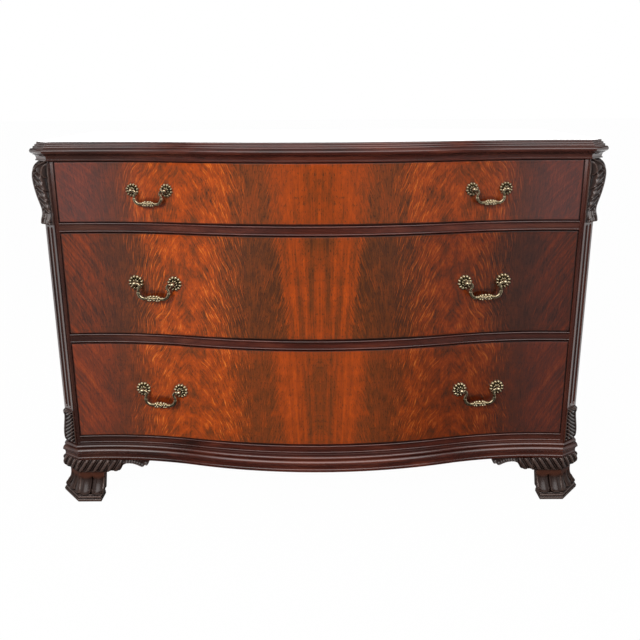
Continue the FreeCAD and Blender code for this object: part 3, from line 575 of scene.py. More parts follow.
class Palette:
    """All finishes of the chest."""

    def __init__(self) -> None:
        """Make every finish once."""
        # The polished finish carries painted shade towards the front corners.
        polished = {"dark": (0.015, 0.005, 0.0035), "middle": (0.048, 0.010, 0.006),
                    "light": (0.105, 0.024, 0.012), "roughness": 0.24, "coat": 0.5, "coat_roughness": 0.12,
                    "dulled": 0.8}
        waxed = {**polished, "roughness": 0.22, "coat": 1.0, "coat_roughness": 0.03,
                 "waxed_above": CASE.top - 0.1}
        lining = {"dark": (0.24, 0.135, 0.060), "middle": (0.38, 0.235, 0.115),
                  "light": (0.50, 0.335, 0.180), "roughness": 0.6, "coat": 0.0}
        timber = {"dark": (0.13, 0.075, 0.040), "middle": (0.22, 0.135, 0.075),
                  "light": (0.31, 0.205, 0.120), "roughness": 0.7, "coat": 0.0}
        self.polished = self.in_each_grain("polished", polished)
        self.waxed = StraightTimber("waxed_top", Grain.ALONG_X, **waxed).make()
        self.lining = self.in_each_grain("lining", lining)
        self.timber = self.in_each_grain("timber", timber)
        self.carved = CarvedTimber("carved_work").make()
        self.brass = AgedBrass("cast_brass").make()

    def in_each_grain(self, name: str, look: dict[str, object]) -> dict[Grain, bpy.types.Material]:
        """One timber finish for each direction of the grain."""
        return {grain: StraightTimber(f"{name}_{grain.name.lower()}", grain, **look).make()
                for grain in Grain}

    def dress_construction(self) -> None:
        """Give every piece of the construction the finish of its slot."""
        upright = ("side_panel", "rear_post", "back_panel")
        deep = ("runners", "drawer_sides", "drawer_bottom")
        for name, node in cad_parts.items():
            slot = Slot(node.material_slots[0].material.name)
            grain = Grain.ALONG_X
            if any(word in name for word in upright):
                grain = Grain.ALONG_Z
            if any(word in name for word in deep):
                grain = Grain.ALONG_Y
            if slot in (Slot.CARVED, Slot.BRASS):
                mark_wear(node.data, 1, 1.0)
            node.material_slots[0].material = self.pick(slot, grain)

    def pick(self, slot: Slot, grain: Grain) -> bpy.types.Material:
        """Finish of a slot.

        Args:
            slot: Material slot.
            grain: Direction of the grain.

        Returns:
            The material.
        """
        if slot is Slot.CARVED:
            return self.carved
        if slot is Slot.BRASS:
            return self.brass
        timbers = {Slot.LINING: self.lining, Slot.TIMBER: self.timber}
        return timbers.get(slot, self.polished)[grain]


def mark_wear(mesh: bpy.types.Mesh, rounds: int, reach: float) -> None:
    """Store how far each point stands out of its surroundings.

    Args:
        mesh: Mesh that gets the attribute.
        rounds: How far round the point its surroundings go.
        reach: Standing out, in millimetres, that counts as a worn edge.
    """
    count = len(mesh.vertices)
    flat = np.empty(count * 3)
    mesh.vertices.foreach_get("co", flat)
    places = flat.reshape(-1, 3)
    pairs = np.empty(len(mesh.edges) * 2, dtype=np.int64)
    mesh.edges.foreach_get("vertices", pairs)
    pairs = pairs.reshape(-1, 2)
    degree = np.maximum(np.bincount(pairs.ravel(), minlength=count), 1)[:, None]
    smooth = places.copy()
    for _ in range(rounds):
        total = np.zeros_like(smooth)
        np.add.at(total, pairs[:, 0], smooth[pairs[:, 1]])
        np.add.at(total, pairs[:, 1], smooth[pairs[:, 0]])
        smooth = (smooth + total / degree) / 2
    normals = np.empty(count * 3)
    mesh.vertices.foreach_get("normal", normals)
    stand = ((places - smooth) * normals.reshape(-1, 3)).sum(axis=1)
    attribute = mesh.attributes.new("wear", "FLOAT", "POINT")
    wear = np.clip(0.5 + stand / (2 * reach * MILLIMETRE), 0, 1)
    attribute.data.foreach_set("value", wear.astype(np.float32))


# Modelling


class Bench:
    """A piece on the bench: parts shaped in millimetres with the usual operators, then joined."""

    def __init__(self, name: str) -> None:
        """Start a piece."""
        self.name = name
        self.parts: Pieces = []

    def take(self) -> Piece:
        """Keep the object that was just added as a part of this piece."""
        self.parts.append(bpy.context.object)
        return bpy.context.object

    def outline(self, points: Sequence[Point], closed: bool = True) -> None:
        """Add a ring of points.

        Args:
            points: Places of the points in order.
            closed: Whether the last point is joined to the first.
        """
        bpy.ops.object.select_all(action="DESELECT")
        bpy.ops.mesh.primitive_circle_add(vertices=len(points), radius=1.0)
        mesh = self.take().data
        for vertex, point in zip(mesh.vertices, points):
            vertex.co = point
        if closed:
            return
        last = {0, len(points) - 1}
        for edge in mesh.edges:
            edge.select = set(edge.vertices) == last
        for vertex in mesh.vertices:
            vertex.select = vertex.index in last
        bpy.ops.object.mode_set(mode="EDIT")
        bpy.ops.mesh.select_mode(type="EDGE")
        bpy.ops.mesh.delete(type="EDGE")
        bpy.ops.mesh.select_mode(type="VERT")
        bpy.ops.object.mode_set(mode="OBJECT")

    def ball(self, centre: Point, radii: Point, segments: int = 16, rings: int = 10) -> None:
        """Add an egg-shaped ball.

        Args:
            centre: Middle of the ball.
            radii: Sizes along X, Y and Z.
            segments: Faces round the ball.
            rings: Faces from pole to pole.
        """
        bpy.ops.object.select_all(action="DESELECT")
        bpy.ops.mesh.primitive_uv_sphere_add(segments=segments, ring_count=rings, radius=1.0)
        self.take().data.transform(Matrix.Translation(centre) @ Matrix.Diagonal((*radii, 1.0)))

    def relief(self, columns: Sequence[float], rows: Sequence[float],
               place: Callable[[float, float], Point]) -> None:
        """Add a fine sheet and shape it point by point, as a carver does.

        Args:
            columns: Places of the columns.
            rows: Places of the rows.
            place: Gives the point for a column and a row.
        """
        bpy.ops.object.select_all(action="DESELECT")
        wide = len(columns) - 1
        high = len(rows) - 1
        bpy.ops.mesh.primitive_grid_add(x_subdivisions=wide, y_subdivisions=high, size=1.0)
        for vertex in self.take().data.vertices:
            column = round((vertex.co.x + 0.5) * wide)
            row = round((vertex.co.y + 0.5) * high)
            vertex.co = place(columns[column], rows[row])

    @contextmanager
    def editing(self) -> Iterator[None]:
        """Edit the latest part with everything selected.

        Yields:
            Nothing.
        """
        bpy.ops.object.mode_set(mode="EDIT")
        bpy.ops.mesh.select_mode(type="VERT")
        bpy.ops.mesh.select_all(action="SELECT")
        yield
        bpy.ops.object.mode_set(mode="OBJECT")

    @contextmanager
    def choosing(self, test: Callable[[Vector], bool]) -> Iterator[None]:
        """Edit the latest part with some of its points selected.

        Args:
            test: Says whether a place is selected.

        Yields:
            Nothing.
        """
        with self.editing():
            bpy.ops.mesh.select_all(action="DESELECT")
        for vertex in self.parts[-1].data.vertices:
            vertex.select = test(vertex.co)
        bpy.ops.object.mode_set(mode="EDIT")
        yield
        bpy.ops.object.mode_set(mode="OBJECT")

    def spin(self, angle: float, centre: Point, axis: Point, steps: int) -> None:
        """Turn the selected ring about an axis, leaving a skin behind it."""
        bpy.ops.mesh.spin(steps=steps, angle=-angle, center=centre, axis=axis, use_auto_merge=False)

    def extrude(self, move: Point) -> None:
        """Draw the selected ring out."""
        bpy.ops.mesh.extrude_region_move(TRANSFORM_OT_translate={"value": move})

    def trim(self, point: Point, normal: Point, fill: bool = True) -> None:
        """Saw off what lies beyond a plane."""
        bpy.ops.mesh.select_all(action="SELECT")
        bpy.ops.mesh.bisect(plane_co=point, plane_no=normal, use_fill=fill, clear_outer=True)

    def move(self, matrix: Matrix) -> None:
        """Move every part."""
        for part in self.parts:
            part.data.transform(matrix)

    def modify(self, kind: str, settings: dict[str, object]) -> None:
        """Use a modifier on the latest part and apply it.

        Args:
            kind: Type of the modifier.
            settings: Its properties.
        """
        part = self.parts[-1]
        bpy.ops.object.select_all(action="DESELECT")
        part.select_set(True)
        bpy.context.view_layer.objects.active = part
        modifier = part.modifiers.new(kind.lower(), kind)
        for key, setting in settings.items():
            setattr(modifier, key, setting)
        bpy.ops.object.modifier_apply(modifier=modifier.name)

    def carve_out(self, cutter: "Bench") -> None:
        """Take the shape of another piece out of the latest part.

        Args:
            cutter: The shape that is taken away and thrown out.
        """
        tool = cutter.join(0.01)
        self.modify("BOOLEAN", {"operation": "DIFFERENCE", "solver": "EXACT", "object": tool})
        bpy.data.objects.remove(tool)

    def join(self, weld: float) -> Piece:
        """Join the parts into one mesh with sound normals.

        Args:
            weld: Distance within which points become one.

        Returns:
            The joined part.
        """
        bpy.ops.object.select_all(action="DESELECT")
        for part in self.parts:
            part.select_set(True)
        bpy.context.view_layer.objects.active = self.parts[0]
        if len(self.parts) > 1:
            bpy.ops.object.join()
        self.parts = [bpy.context.object]
        with self.editing():
            bpy.ops.mesh.remove_doubles(threshold=weld)
            bpy.ops.mesh.select_all(action="SELECT")
            bpy.ops.mesh.normals_make_consistent(inside=False)
        return self.parts[0]

    def finish(self, slot: Slot, material: bpy.types.Material, body: str, nodes: Sequence[str],
               weld: float = 0.01, wear: Wear | None = None) -> Piece:
        """Bring the piece to its real size and fix it to its body.

        Args:
            slot: Material slot of the piece.
            material: Its finish.
            body: Body that carries it.
            nodes: Pieces of the construction that it stands for.
            weld: Distance within which points become one.
            wear: Rounds and reach for worn edges.

        Returns:
            The finished piece.
        """
        piece = self.join(weld)
        piece.data.transform(Matrix.Scale(MILLIMETRE, 4))
        bpy.ops.object.shade_smooth_by_angle(angle=math.radians(38))
        piece.name = self.name
        piece.data.name = self.name
        if wear:
            mark_wear(piece.data, *wear)
        return settle(piece, slot, material, body, nodes)

    def finish_pair(self, slot: Slot, material: bpy.types.Material, body: str, nodes: Sequence[str],
                    weld: float = 0.01, wear: Wear | None = None) -> Pieces:
        """Finish a right hand piece and its left hand twin.

        Args:
            slot: Material slot of the pieces.
            material: Their finish.
            body: Body that carries them.
            nodes: Pieces of the construction that the right hand piece stands for.
            weld: Distance within which points become one.
            wear: Rounds and reach for worn edges.

        Returns:
            Both pieces.
        """
        right = self.finish(slot, material, body, nodes, weld, wear)
        left = mirror_piece(right, self.name.replace(Side.RIGHT.word, Side.LEFT.word))
        twins = [node.replace(Side.RIGHT.word, Side.LEFT.word) for node in nodes]
        return [right, settle(left, slot, material, body, twins)]


def settle(piece: Piece, slot: Slot, material: bpy.types.Material, body: str,
           nodes: Sequence[str]) -> Piece:
    """Give a piece its finish and its body, and hide the nodes it stands for.

    Args:
        piece: The finished mesh.
        slot: Material slot of the piece; not used.
        material: Its finish.
        body: Body that carries it.
        nodes: Pieces of the construction that it stands for.

    Returns:
        The piece.
    """
    piece.data.materials.clear()
    piece.data.materials.append(material)
    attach(piece, body)
    if nodes:
        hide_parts(*nodes)
    return piece


def mirror_piece(piece: Piece, name: str) -> Piece:
    """Make the left hand twin of a right hand piece.

    Args:
        piece: Right hand piece.
        name: Name of the twin.

    Returns:
        The twin, not yet settled.
    """
    mesh = piece.data.copy()
    mesh.name = name
    mesh.transform(Matrix.Scale(-1, 4, (1, 0, 0)))
    mesh.flip_normals()
    twin = bpy.data.objects.new(name, mesh)
    bpy.context.scene.collection.objects.link(twin)
    return twin


# Curves and profiles


def smooth_line(points: Sequence[Flat], at: float) -> float:
    """Value on a smooth line through points.

    Args:
        points: Places with their values, in order.
        at: Where the value is read.

    Returns:
        The value.
    """
    if at <= points[0][0]:
        return points[0][1]
    if at >= points[-1][0]:
        return points[-1][1]
    index = max(number for number, point in enumerate(points) if point[0] <= at)
    (x0, y0), (x1, y1) = points[index], points[index + 1]
    before = points[index - 1] if index else points[index]
    after = points[index + 2] if index + 2 < len(points) else points[index + 1]
    span = x1 - x0
    slope0 = (y1 - before[1]) / (x1 - before[0]) * span
    slope1 = (after[1] - y0) / (after[0] - x0) * span
    part = (at - x0) / span
    square = part * part
    cube = square * part
    return ((2 * cube - 3 * square + 1) * y0 + (cube - 2 * square + part) * slope0
            + (3 * square - 2 * cube) * y1 + (cube - square) * slope1)


def straight_line(points: Sequence[Flat], at: float) -> float:
    """Value on a broken line through points."""
    return float(np.interp(at, [point[0] for point in points], [point[1] for point in points]))


def ease(low: float, high: float, at: float) -> float:
    """Smooth rise from 0 to 1."""
    part = min(max((at - low) / (high - low), 0.0), 1.0)
    return part * part * (3 - 2 * part)


def lobe(part: float, fullness: float) -> float:
    """Rounded swelling over one unit, with a valley at each end."""
    return max(math.sin(math.pi * (part % 1.0)), 0.0) ** fullness


def spread(low: float, high: float, count: int) -> list[float]:
    """Evenly spaced places."""
    return [low + (high - low) * step / (count - 1) for step in range(count)]


def round_turn(count: int) -> list[float]:
    """Evenly spaced angles of a full turn."""
    return [math.tau * step / count for step in range(count)]


def bead(root: float, bulge: float, bottom: float, top: float, steps: int = 10) -> list[Flat]:
    """Half round moulding.

    Args:
        root: Distance out at its edges.
        bulge: How far it swells.
        bottom: Height of its lower edge.
        top: Height of its upper edge.
        steps: How many faces it has.

    Returns:
        Points of distance out and height.
    """
    points = []
    for step in range(steps + 1):
        angle = math.pi * step / steps
        height = (bottom + top) / 2 - (top - bottom) / 2 * math.cos(angle)
        points.append((root + bulge * math.sin(angle), height))
    return points


def quarter_round(root: float, bulge: float, bottom: float, top: float, steps: int) -> list[Flat]:
    """Quarter round that is fullest near its lower edge.

    Args:
        root: Distance out at its upper edge.
        bulge: How far it stands out.
        bottom: Height of its lower edge.
        top: Height of its upper edge.
        steps: Number of steps.

    Returns:
        Points of distance out and height, from the bottom up.
    """
    belly = bottom + (top - bottom) * 0.12
    points = [(root + bulge * 0.8, bottom), (root + bulge * 0.95, (bottom + belly) / 2)]
    for step in range(steps + 1):
        angle = math.pi / 2 * step / steps
        points.append((root + bulge * math.cos(angle), belly + (top - belly) * math.sin(angle)))
    return points


def cove(start: Flat, end: Flat, level_first: bool, steps: int = 8) -> list[Flat]:
    """Hollow quarter round moulding.

    Args:
        start: Lower end.
        end: Upper end.
        level_first: Whether it leaves its lower end level.
        steps: How many faces it has.

    Returns:
        Points of distance out and height.
    """
    points = []
    for step in range(steps + 1):
        angle = math.pi / 2 * step / steps
        across = math.sin(angle) if level_first else 1 - math.cos(angle)
        up = 1 - math.cos(angle) if level_first else math.sin(angle)
        points.append((start[0] + (end[0] - start[0]) * across, start[1] + (end[1] - start[1]) * up))
    return points


# Plan of the chest


@dataclass(frozen=True)
class Serpentine:
    """The bowed front seen from above: a crest arc between two hollow arcs."""

    crest_radius: float
    hollow_radius: float
    crest_reach: float
    hollow_x: float = 507.0
    crest_steps: int = 48
    hollow_steps: int = 28

    @property
    def crest_y(self) -> float:
        """Y of the centre of the crest arc."""
        return self.crest_radius - self.crest_reach

    @property
    def join(self) -> float:
        """Angle at which the arcs meet."""
        return math.asin(self.hollow_x / (self.crest_radius + self.hollow_radius))

    @property
    def hollow_y(self) -> float:
        """Y of the centres of the hollow arcs."""
        return self.crest_y - (self.crest_radius + self.hollow_radius) * math.cos(self.join)

    def face(self, x: float, out: float = 0.0) -> float:
        """Y of the front.

        Args:
            x: Distance from the middle of the chest.
            out: Distance in front of the drawer faces.

        Returns:
            The place in millimetres.
        """
        across = abs(x)
        if across < (self.crest_radius + out) * math.sin(self.join):
            return self.crest_y - math.sqrt((self.crest_radius + out) ** 2 - across ** 2)
        radius = self.hollow_radius - out
        return self.hollow_y + math.sqrt(radius ** 2 - (across - self.hollow_x) ** 2)

    def sweep(self, bench: Bench, profile: Sequence[Flat], reach: float, closed: bool = True) -> None:
        """Run a profile along the front, from the left to the right.

        Args:
            bench: Piece that gets the length.
            profile: Points of distance out and height.
            reach: How far it goes from the middle of the chest.
            closed: Whether the profile is a closed outline.
        """
        start = math.asin((reach - self.hollow_x) / self.hollow_radius)
        ring = []
        for out, height in profile:
            radius = self.hollow_radius - out
            x = -self.hollow_x - radius * math.sin(start)
            ring.append((x, self.hollow_y + radius * math.cos(start), height))
        bench.outline(ring, closed)
        upright = (0, 0, 1)
        with bench.editing():
            bench.spin(-start - self.join, (-self.hollow_x, self.hollow_y, 0), upright, self.hollow_steps)
            bench.spin(2 * self.join, (0, self.crest_y, 0), upright, self.crest_steps)
            bench.spin(-start - self.join, (self.hollow_x, self.hollow_y, 0), upright, self.hollow_steps)


CASE_PLAN = Serpentine(1180, 845, 260)
BASE_PLAN = Serpentine(1080, 775, 266)


@dataclass(frozen=True)
class CaseSizes:
    """Sizes of the case, in millimetres."""

    half_width: float = 615
    half_opening: float = 575
    strip: float = 10
    cant: float = 30
    back: float = 275
    top_back: float = 280
    rail_back: float = -140
    post_back: float = -125
    foot_height: float = 106
    lower_floor: float = 166
    lower_head: float = 399.5
    middle_floor: float = 420.5
    middle_head: float = 656.5
    upper_floor: float = 677.5
    cornice: float = 812
    top_underside: float = 826
    top: float = 852

    @property
    def cant_start(self) -> float:
        """X where the bevelled corner starts."""
        return self.half_opening + self.strip

    @property
    def cant_front(self) -> float:
        """Y where the bevelled corner starts."""
        return CASE_PLAN.face(self.cant_start)


CASE = CaseSizes()
CASE_BODY = "case"


def on_cant(across: float, out: float, height: float) -> Point:
    """Point on the right bevelled corner.

    Args:
        across: Distance from the middle of the bevel, towards the side.
        out: Distance out of the bevel.
        height: Height above the floor.

    Returns:
        The point.
    """
    middle_x = CASE.cant_start + CASE.cant / 2
    middle_y = CASE.cant_front + CASE.cant / 2
    return middle_x + (across + out) * DIAGONAL, middle_y + (across - out) * DIAGONAL, height


@dataclass(frozen=True)
class Moulding:
    """A moulding along the front, round the bevelled corners and along the sides."""

    plan: Serpentine
    profile: Curve
    share: Point = (math.sqrt(2) - 1, 1.0, 1 - math.sqrt(2))
    closed: bool = True
    back: float = CASE.back
    mitre_reach: float = 15.0
    overrun: float = 60

    def corner(self, out: float) -> tuple[Vector, Vector]:
        """Ends of the bevelled right corner.

        Args:
            out: Distance out of the case.

        Returns:
            The end at the front and the end at the side.
        """
        front_share, side_share, back_share = self.share
        front_x = CASE.cant_start + out * front_share
        side_y = CASE.cant_front + CASE.cant + out * back_share
        front = Vector((front_x, self.plan.face(front_x, out), 0))
        return front, Vector((CASE.half_width + out * side_share, side_y, 0))

    def mitre(self) -> tuple[Vector, Vector]:
        """Plane in which the front length meets the length on the right bevel.

        Returns:
            A point and the direction towards the side.
        """
        inner = self.corner(0.0)[0]
        away = self.corner(self.mitre_reach)[0] - inner
        return inner, Vector((-away.y, away.x, 0)).normalized()

    def front(self, bench: Bench) -> None:
        """Add the front length.

        Args:
            bench: Piece that gets the length.
        """
        self.plan.sweep(bench, self.profile, CASE.cant_start + self.overrun, self.closed)
        point, normal = self.mitre()
        with bench.editing():
            bench.trim(point, normal, self.closed)
            bench.trim((-point.x, point.y, 0), (-normal.x, normal.y, 0), self.closed)

    def flank(self, bench: Bench) -> None:
        """Add the lengths round the right corner and along the right side.

        Args:
            bench: Piece that gets the lengths.
        """
        points = list(self.profile)
        if self.closed:
            points.append(points[0])

        def place(number: float, station: float) -> Point:
            """Point of the lengths.

            Args:
                number: Which point of the profile.
                station: 0 at the front, 1 at the side and 2 at the back.

            Returns:
                The point.
            """
            out, height = points[round(number)]
            front, side = self.corner(out)
            spot = (front, side, Vector((side.x, self.back, 0)))[round(station)]
            return spot.x, spot.y, height

        bench.relief(list(range(len(points))), [0, 1, 2], place)
        if not self.closed:
            return
        with bench.editing():
            bpy.ops.mesh.remove_doubles(threshold=0.001)
            bpy.ops.mesh.fill_holes(sides=0)

    def build(self, name: str, palette: Palette) -> Pieces:
        """Model the front, right and left lengths.

        Args:
            name: Start of the names of its nodes.
            palette: Finishes of the chest.

        Returns:
            The three pieces.
        """
        front = Bench(f"{name}_front_length")
        self.front(front)
        wide = palette.polished[Grain.ALONG_X]
        piece = front.finish(Slot.POLISHED, wide, CASE_BODY, [f"{name}_front"])
        flank = Bench(f"{name}_right_length")
        self.flank(flank)
        deep = palette.polished[Grain.ALONG_Y]
        return [piece, *flank.finish_pair(Slot.POLISHED, deep, CASE_BODY, [f"{name}_right"])]


# Sub-assemblies of the chest


@dataclass(frozen=True)
class Top:
    """Top board and the moulding under it."""

    palette: Palette
    nose_root: float = 10
    nose_bulge: float = 6.4
    corner_weld: float = 0.35

    def board_profile(self) -> Curve:
        """Edge of the top: a round nose below three fine steps.

        Returns:
            Points of distance out and height.
        """
        low = CASE.top_underside
        under = [(9.0, low), (9.6, low + 0.3)]
        nose = bead(self.nose_root, self.nose_bulge, low + 0.5, low + 12.5, 14)
        first = [(9.2, low + 12.9), (9.1, low + 14.8), (8.6, low + 16.2), (8.0, low + 17.0)]
        second = [(5.4, low + 17.2), (5.3, low + 19.0), (4.8, low + 20.4), (4.2, low + 21.2)]
        rim = [(1.4, low + 21.4), (1.3, low + 23.2), (0.8, low + 24.6), (0.0, low + 25.5), (-5.2, CASE.top)]
        return tuple([*under, *nose, *first, *second, *rim])

    def cornice_profile(self) -> Curve:
        """Moulding under the top: a fillet below a hollow.

        Returns:
            Points of distance out and height.
        """
        low = CASE.cornice
        high = CASE.top_underside
        fillet = [(-3, low), (6.1, low), (6.5, low + 0.4), (6.5, low + 2.6), (6.1, low + 3), (4.6, low + 3.1)]
        hollow = cove((4.5, low + 3.5), (10.6, high - 1), False)
        return tuple([*fillet, *hollow, (11, high - 0.6), (11, high - 0.05), (-3, high - 0.05)])

    def build(self) -> Pieces:
        """Model the board and the three lengths of moulding.

        Returns:
            The pieces.
        """
        board = self.build_board()
        cornice = Moulding(CASE_PLAN, self.cornice_profile())
        return [board, *cornice.build("top_moulding", self.palette)]

    def build_board(self) -> Piece:
        """Model the top board with its moulded edge.

        Returns:
            The board.
        """
        bench = Bench("moulded_top")
        moulding = Moulding(CASE_PLAN, self.board_profile(), closed=False, back=CASE.top_back)
        moulding.front(bench)
        moulding.flank(bench)
        bench.parts.append(mirror_piece(bench.parts[1], "left_length"))
        bench.join(self.corner_weld)
        for height in (CASE.top, CASE.top_underside):
            with bench.choosing(lambda place, level=height: abs(place.z - level) < 0.01):
                bpy.ops.mesh.edge_face_add()
        with bench.editing():
            bpy.ops.mesh.select_all(action="DESELECT")
            bpy.ops.mesh.select_non_manifold()
            bpy.ops.mesh.edge_face_add()
        return bench.finish(Slot.POLISHED, self.palette.waxed, CASE_BODY, ["top_board"])


@dataclass(frozen=True)
class FluteSizes:
    """Sizes of the stopped flutes on the bevelled corners, and of the groove beside them."""

    groove: float = 2.4
    radius: float = 6
    depth: float = 4
    place: float = 8
    bottom: float = 240
    top: float = 662


@dataclass(frozen=True)
class FrontFrame:
    """Rails, posts and base moulding of the front."""

    palette: Palette
    flute: FluteSizes = FluteSizes()
    rail_depth: float = 124.0
    quirk: float = 1.8
    bead_bulge: float = 2.2
    bead_width: float = 4.2
    bottom_bead_rise: float = 41.0
    overrun: float = 12
    base_corner: Point = (-0.45, 0.55, -1.3)

    def build(self) -> Pieces:
        """Model the rails, the base moulding and the posts.

        Returns:
            The pieces.
        """
        rails = [self.rail("upper_divider_rail", CASE.middle_head, CASE.upper_floor, 0.0),
                 self.rail("lower_divider_rail", CASE.lower_head, CASE.middle_floor, 0.0),
                 self.rail("bottom_front_rail", CASE.foot_height, CASE.lower_floor, self.bottom_bead_rise)]
        base = Moulding(BASE_PLAN, self.base_profile(), self.base_corner)
        return [*rails, *base.build("base_moulding", self.palette), *self.posts()]

    def base_profile(self) -> Curve:
        """Moulding of the base: a band, a hollow, a large and a small quarter round.

        Returns:
            Points of distance out and height.
        """
        low = CASE.foot_height
        band = [(-7, low), (8.2, low), (8.7, low + 0.5), (9.5, low + 6.4), (9.1, low + 7)]
        hollow = cove((8.6, low + 8), (11.4, low + 18), False)
        large = quarter_round(8, 6, low + 20.2, low + 30, 14)
        small = quarter_round(4, 4.5, low + 32, low + 38.6, 12)
        return tuple([*band, *hollow, (11.4, low + 19.2), (11, low + 19.8), *large, (5, low + 30.6),
                      (4, low + 31.6), *small, (-7, low + 38.6)])

    def rail(self, node: str, bottom: float, top: float, bead_rise: float) -> Piece:
        """Model one front rail with a thin bead along its upper edge and a second one lower down.

        Args:
            node: Node that it stands for.
            bottom: Height of its lower edge.
            top: Height of its upper edge.
            bead_rise: Distance from its lower edge to the lower bead.

        Returns:
            The rail.
        """
        deep = -self.rail_depth
        quirk = -self.quirk
        width = self.bead_width
        low = bottom + bead_rise
        profile = [(deep, bottom)]
        if bead_rise:
            profile += [(0.0, bottom), (0.0, low - 0.9), (quirk, low - 0.5)]
        profile += bead(quirk, self.bead_bulge, low, low + width, 8)
        profile += [(quirk, low + width + 0.5), (-0.1, low + width + 0.9)]
        profile += [(-0.1, top - width - 0.9), (quirk, top - width - 0.5)]
        profile += bead(quirk, self.bead_bulge, top - width, top, 8)
        profile += [(deep, top)]
        bench = Bench(f"beaded_{node}")
        CASE_PLAN.sweep(bench, profile, CASE.half_opening + self.overrun)
        with bench.editing():
            bench.trim((CASE.half_opening, 0, 0), (1, 0, 0))
            bench.trim((-CASE.half_opening, 0, 0), (-1, 0, 0))
            bench.trim((0, CASE.rail_back, 0), (0, 1, 0))
        return bench.finish(Slot.POLISHED, self.palette.polished[Grain.ALONG_X], CASE_BODY, [node])

    def posts(self) -> Pieces:
        """Model the bevelled posts with their stopped flutes.

        Returns:
            Both posts.
        """
        bench = Bench("fluted_right_post")
        low = CASE.foot_height
        flute = self.flute
        shelf = CASE.cant_start - 1.2 * flute.groove
        strip = [(x, CASE_PLAN.face(x), low) for x in spread(CASE.half_opening, shelf, 4)]
        strip.append((shelf + flute.groove / 2, CASE_PLAN.face(shelf) + flute.groove, low))
        strip += [(x, CASE_PLAN.face(x), low) for x in (shelf + flute.groove, CASE.cant_start)]
        side_start = CASE.cant_front + CASE.cant
        bench.outline([*strip, (CASE.half_width, side_start, low), (CASE.half_width, CASE.post_back, low),
                       (CASE.half_opening, CASE.post_back, low)])
        with bench.editing():
            bpy.ops.mesh.edge_face_add()
            bench.extrude((0, 0, CASE.top_underside - low))
        bench.modify("BEVEL", {"width": 0.3, "segments": 2, "limit_method": "ANGLE",
                               "angle_limit": math.radians(35)})
        for across in (-flute.place, flute.place):
            cutter = Bench("flute")
            middle = on_cant(across, flute.radius - flute.depth, flute.bottom)
            cutter.ball(middle, (flute.radius, flute.radius, flute.radius), 40, 20)
            with cutter.choosing(lambda place: place.z > flute.bottom + 0.01):
                bpy.ops.transform.translate(value=(0, 0, flute.top - flute.bottom))
            bench.carve_out(cutter)
        upright = self.palette.polished[Grain.ALONG_Z]
        return bench.finish_pair(Slot.POLISHED, upright, CASE_BODY, ["right_front_post"])


@dataclass(frozen=True)
class CorbelSizes:
    """Sizes of the carved corbel at the head of a post."""

    half_width: float = 19
    span: Flat = (672, 811)
    swell: Curve = (
        (672, 4), (674, 10), (682, 11.5), (692, 8.5), (700, 7.5), (710, 8.5), (722, 11.5), (745, 16.5),
        (765, 19.5), (780, 20.5), (795, 18.5), (804, 13), (811, 4),
    )
    lips: Row = (660, 676, 698, 722, 745, 774, 830)
    slant: float = 0.62
    wave: Flat = (2.2, 7.0)
    lip_height: float = 5.2
    blade_fade: float = 9.0
    grooves: float = 2.5
    tip_top: float = 698
    tip_pitch: float = 8.0
    tip_slant: float = 0.3
    top_fade: float = 12
    crown: float = 0.30
    eye: Flat = (3, 793)
    eye_half: Flat = (5.0, 1.6)
    eye_bow: float = 0.12
    eye_depth: float = 3.0
    rib_place: Curve = (
        (672, 15), (690, 9), (712, 11), (740, 14), (770, 15), (790, 12), (802, 2), (810, -10),
    )
    rib_half: float = 4.6
    rib_height: float = 3.2


@dataclass(frozen=True)
class LeafSizes:
    """Sizes of the carved leaf at the foot of a post."""

    half_width: float = 19
    span: Flat = (147, 228)
    swell: Curve = (
        (147, 4), (151, 8), (160, 10), (172, 10), (188, 8), (204, 6), (214, 6), (221, 8.5), (226, 7),
        (228, 2),
    )
    vein_pitch: float = 9.0
    vein_fullness: float = 0.75
    vein_height: float = 2.6
    slant: float = 0.75
    wave: Flat = (1.6, 6.0)
    blade_fade: float = 7.0
    edge_fade: float = 3.0
    crown: float = 0.18
    rib_place: Curve = ((147, 15), (180, 14), (205, 12), (220, 9), (228, 4))
    rib_half: float = 4.2
    rib_height: float = 1.8


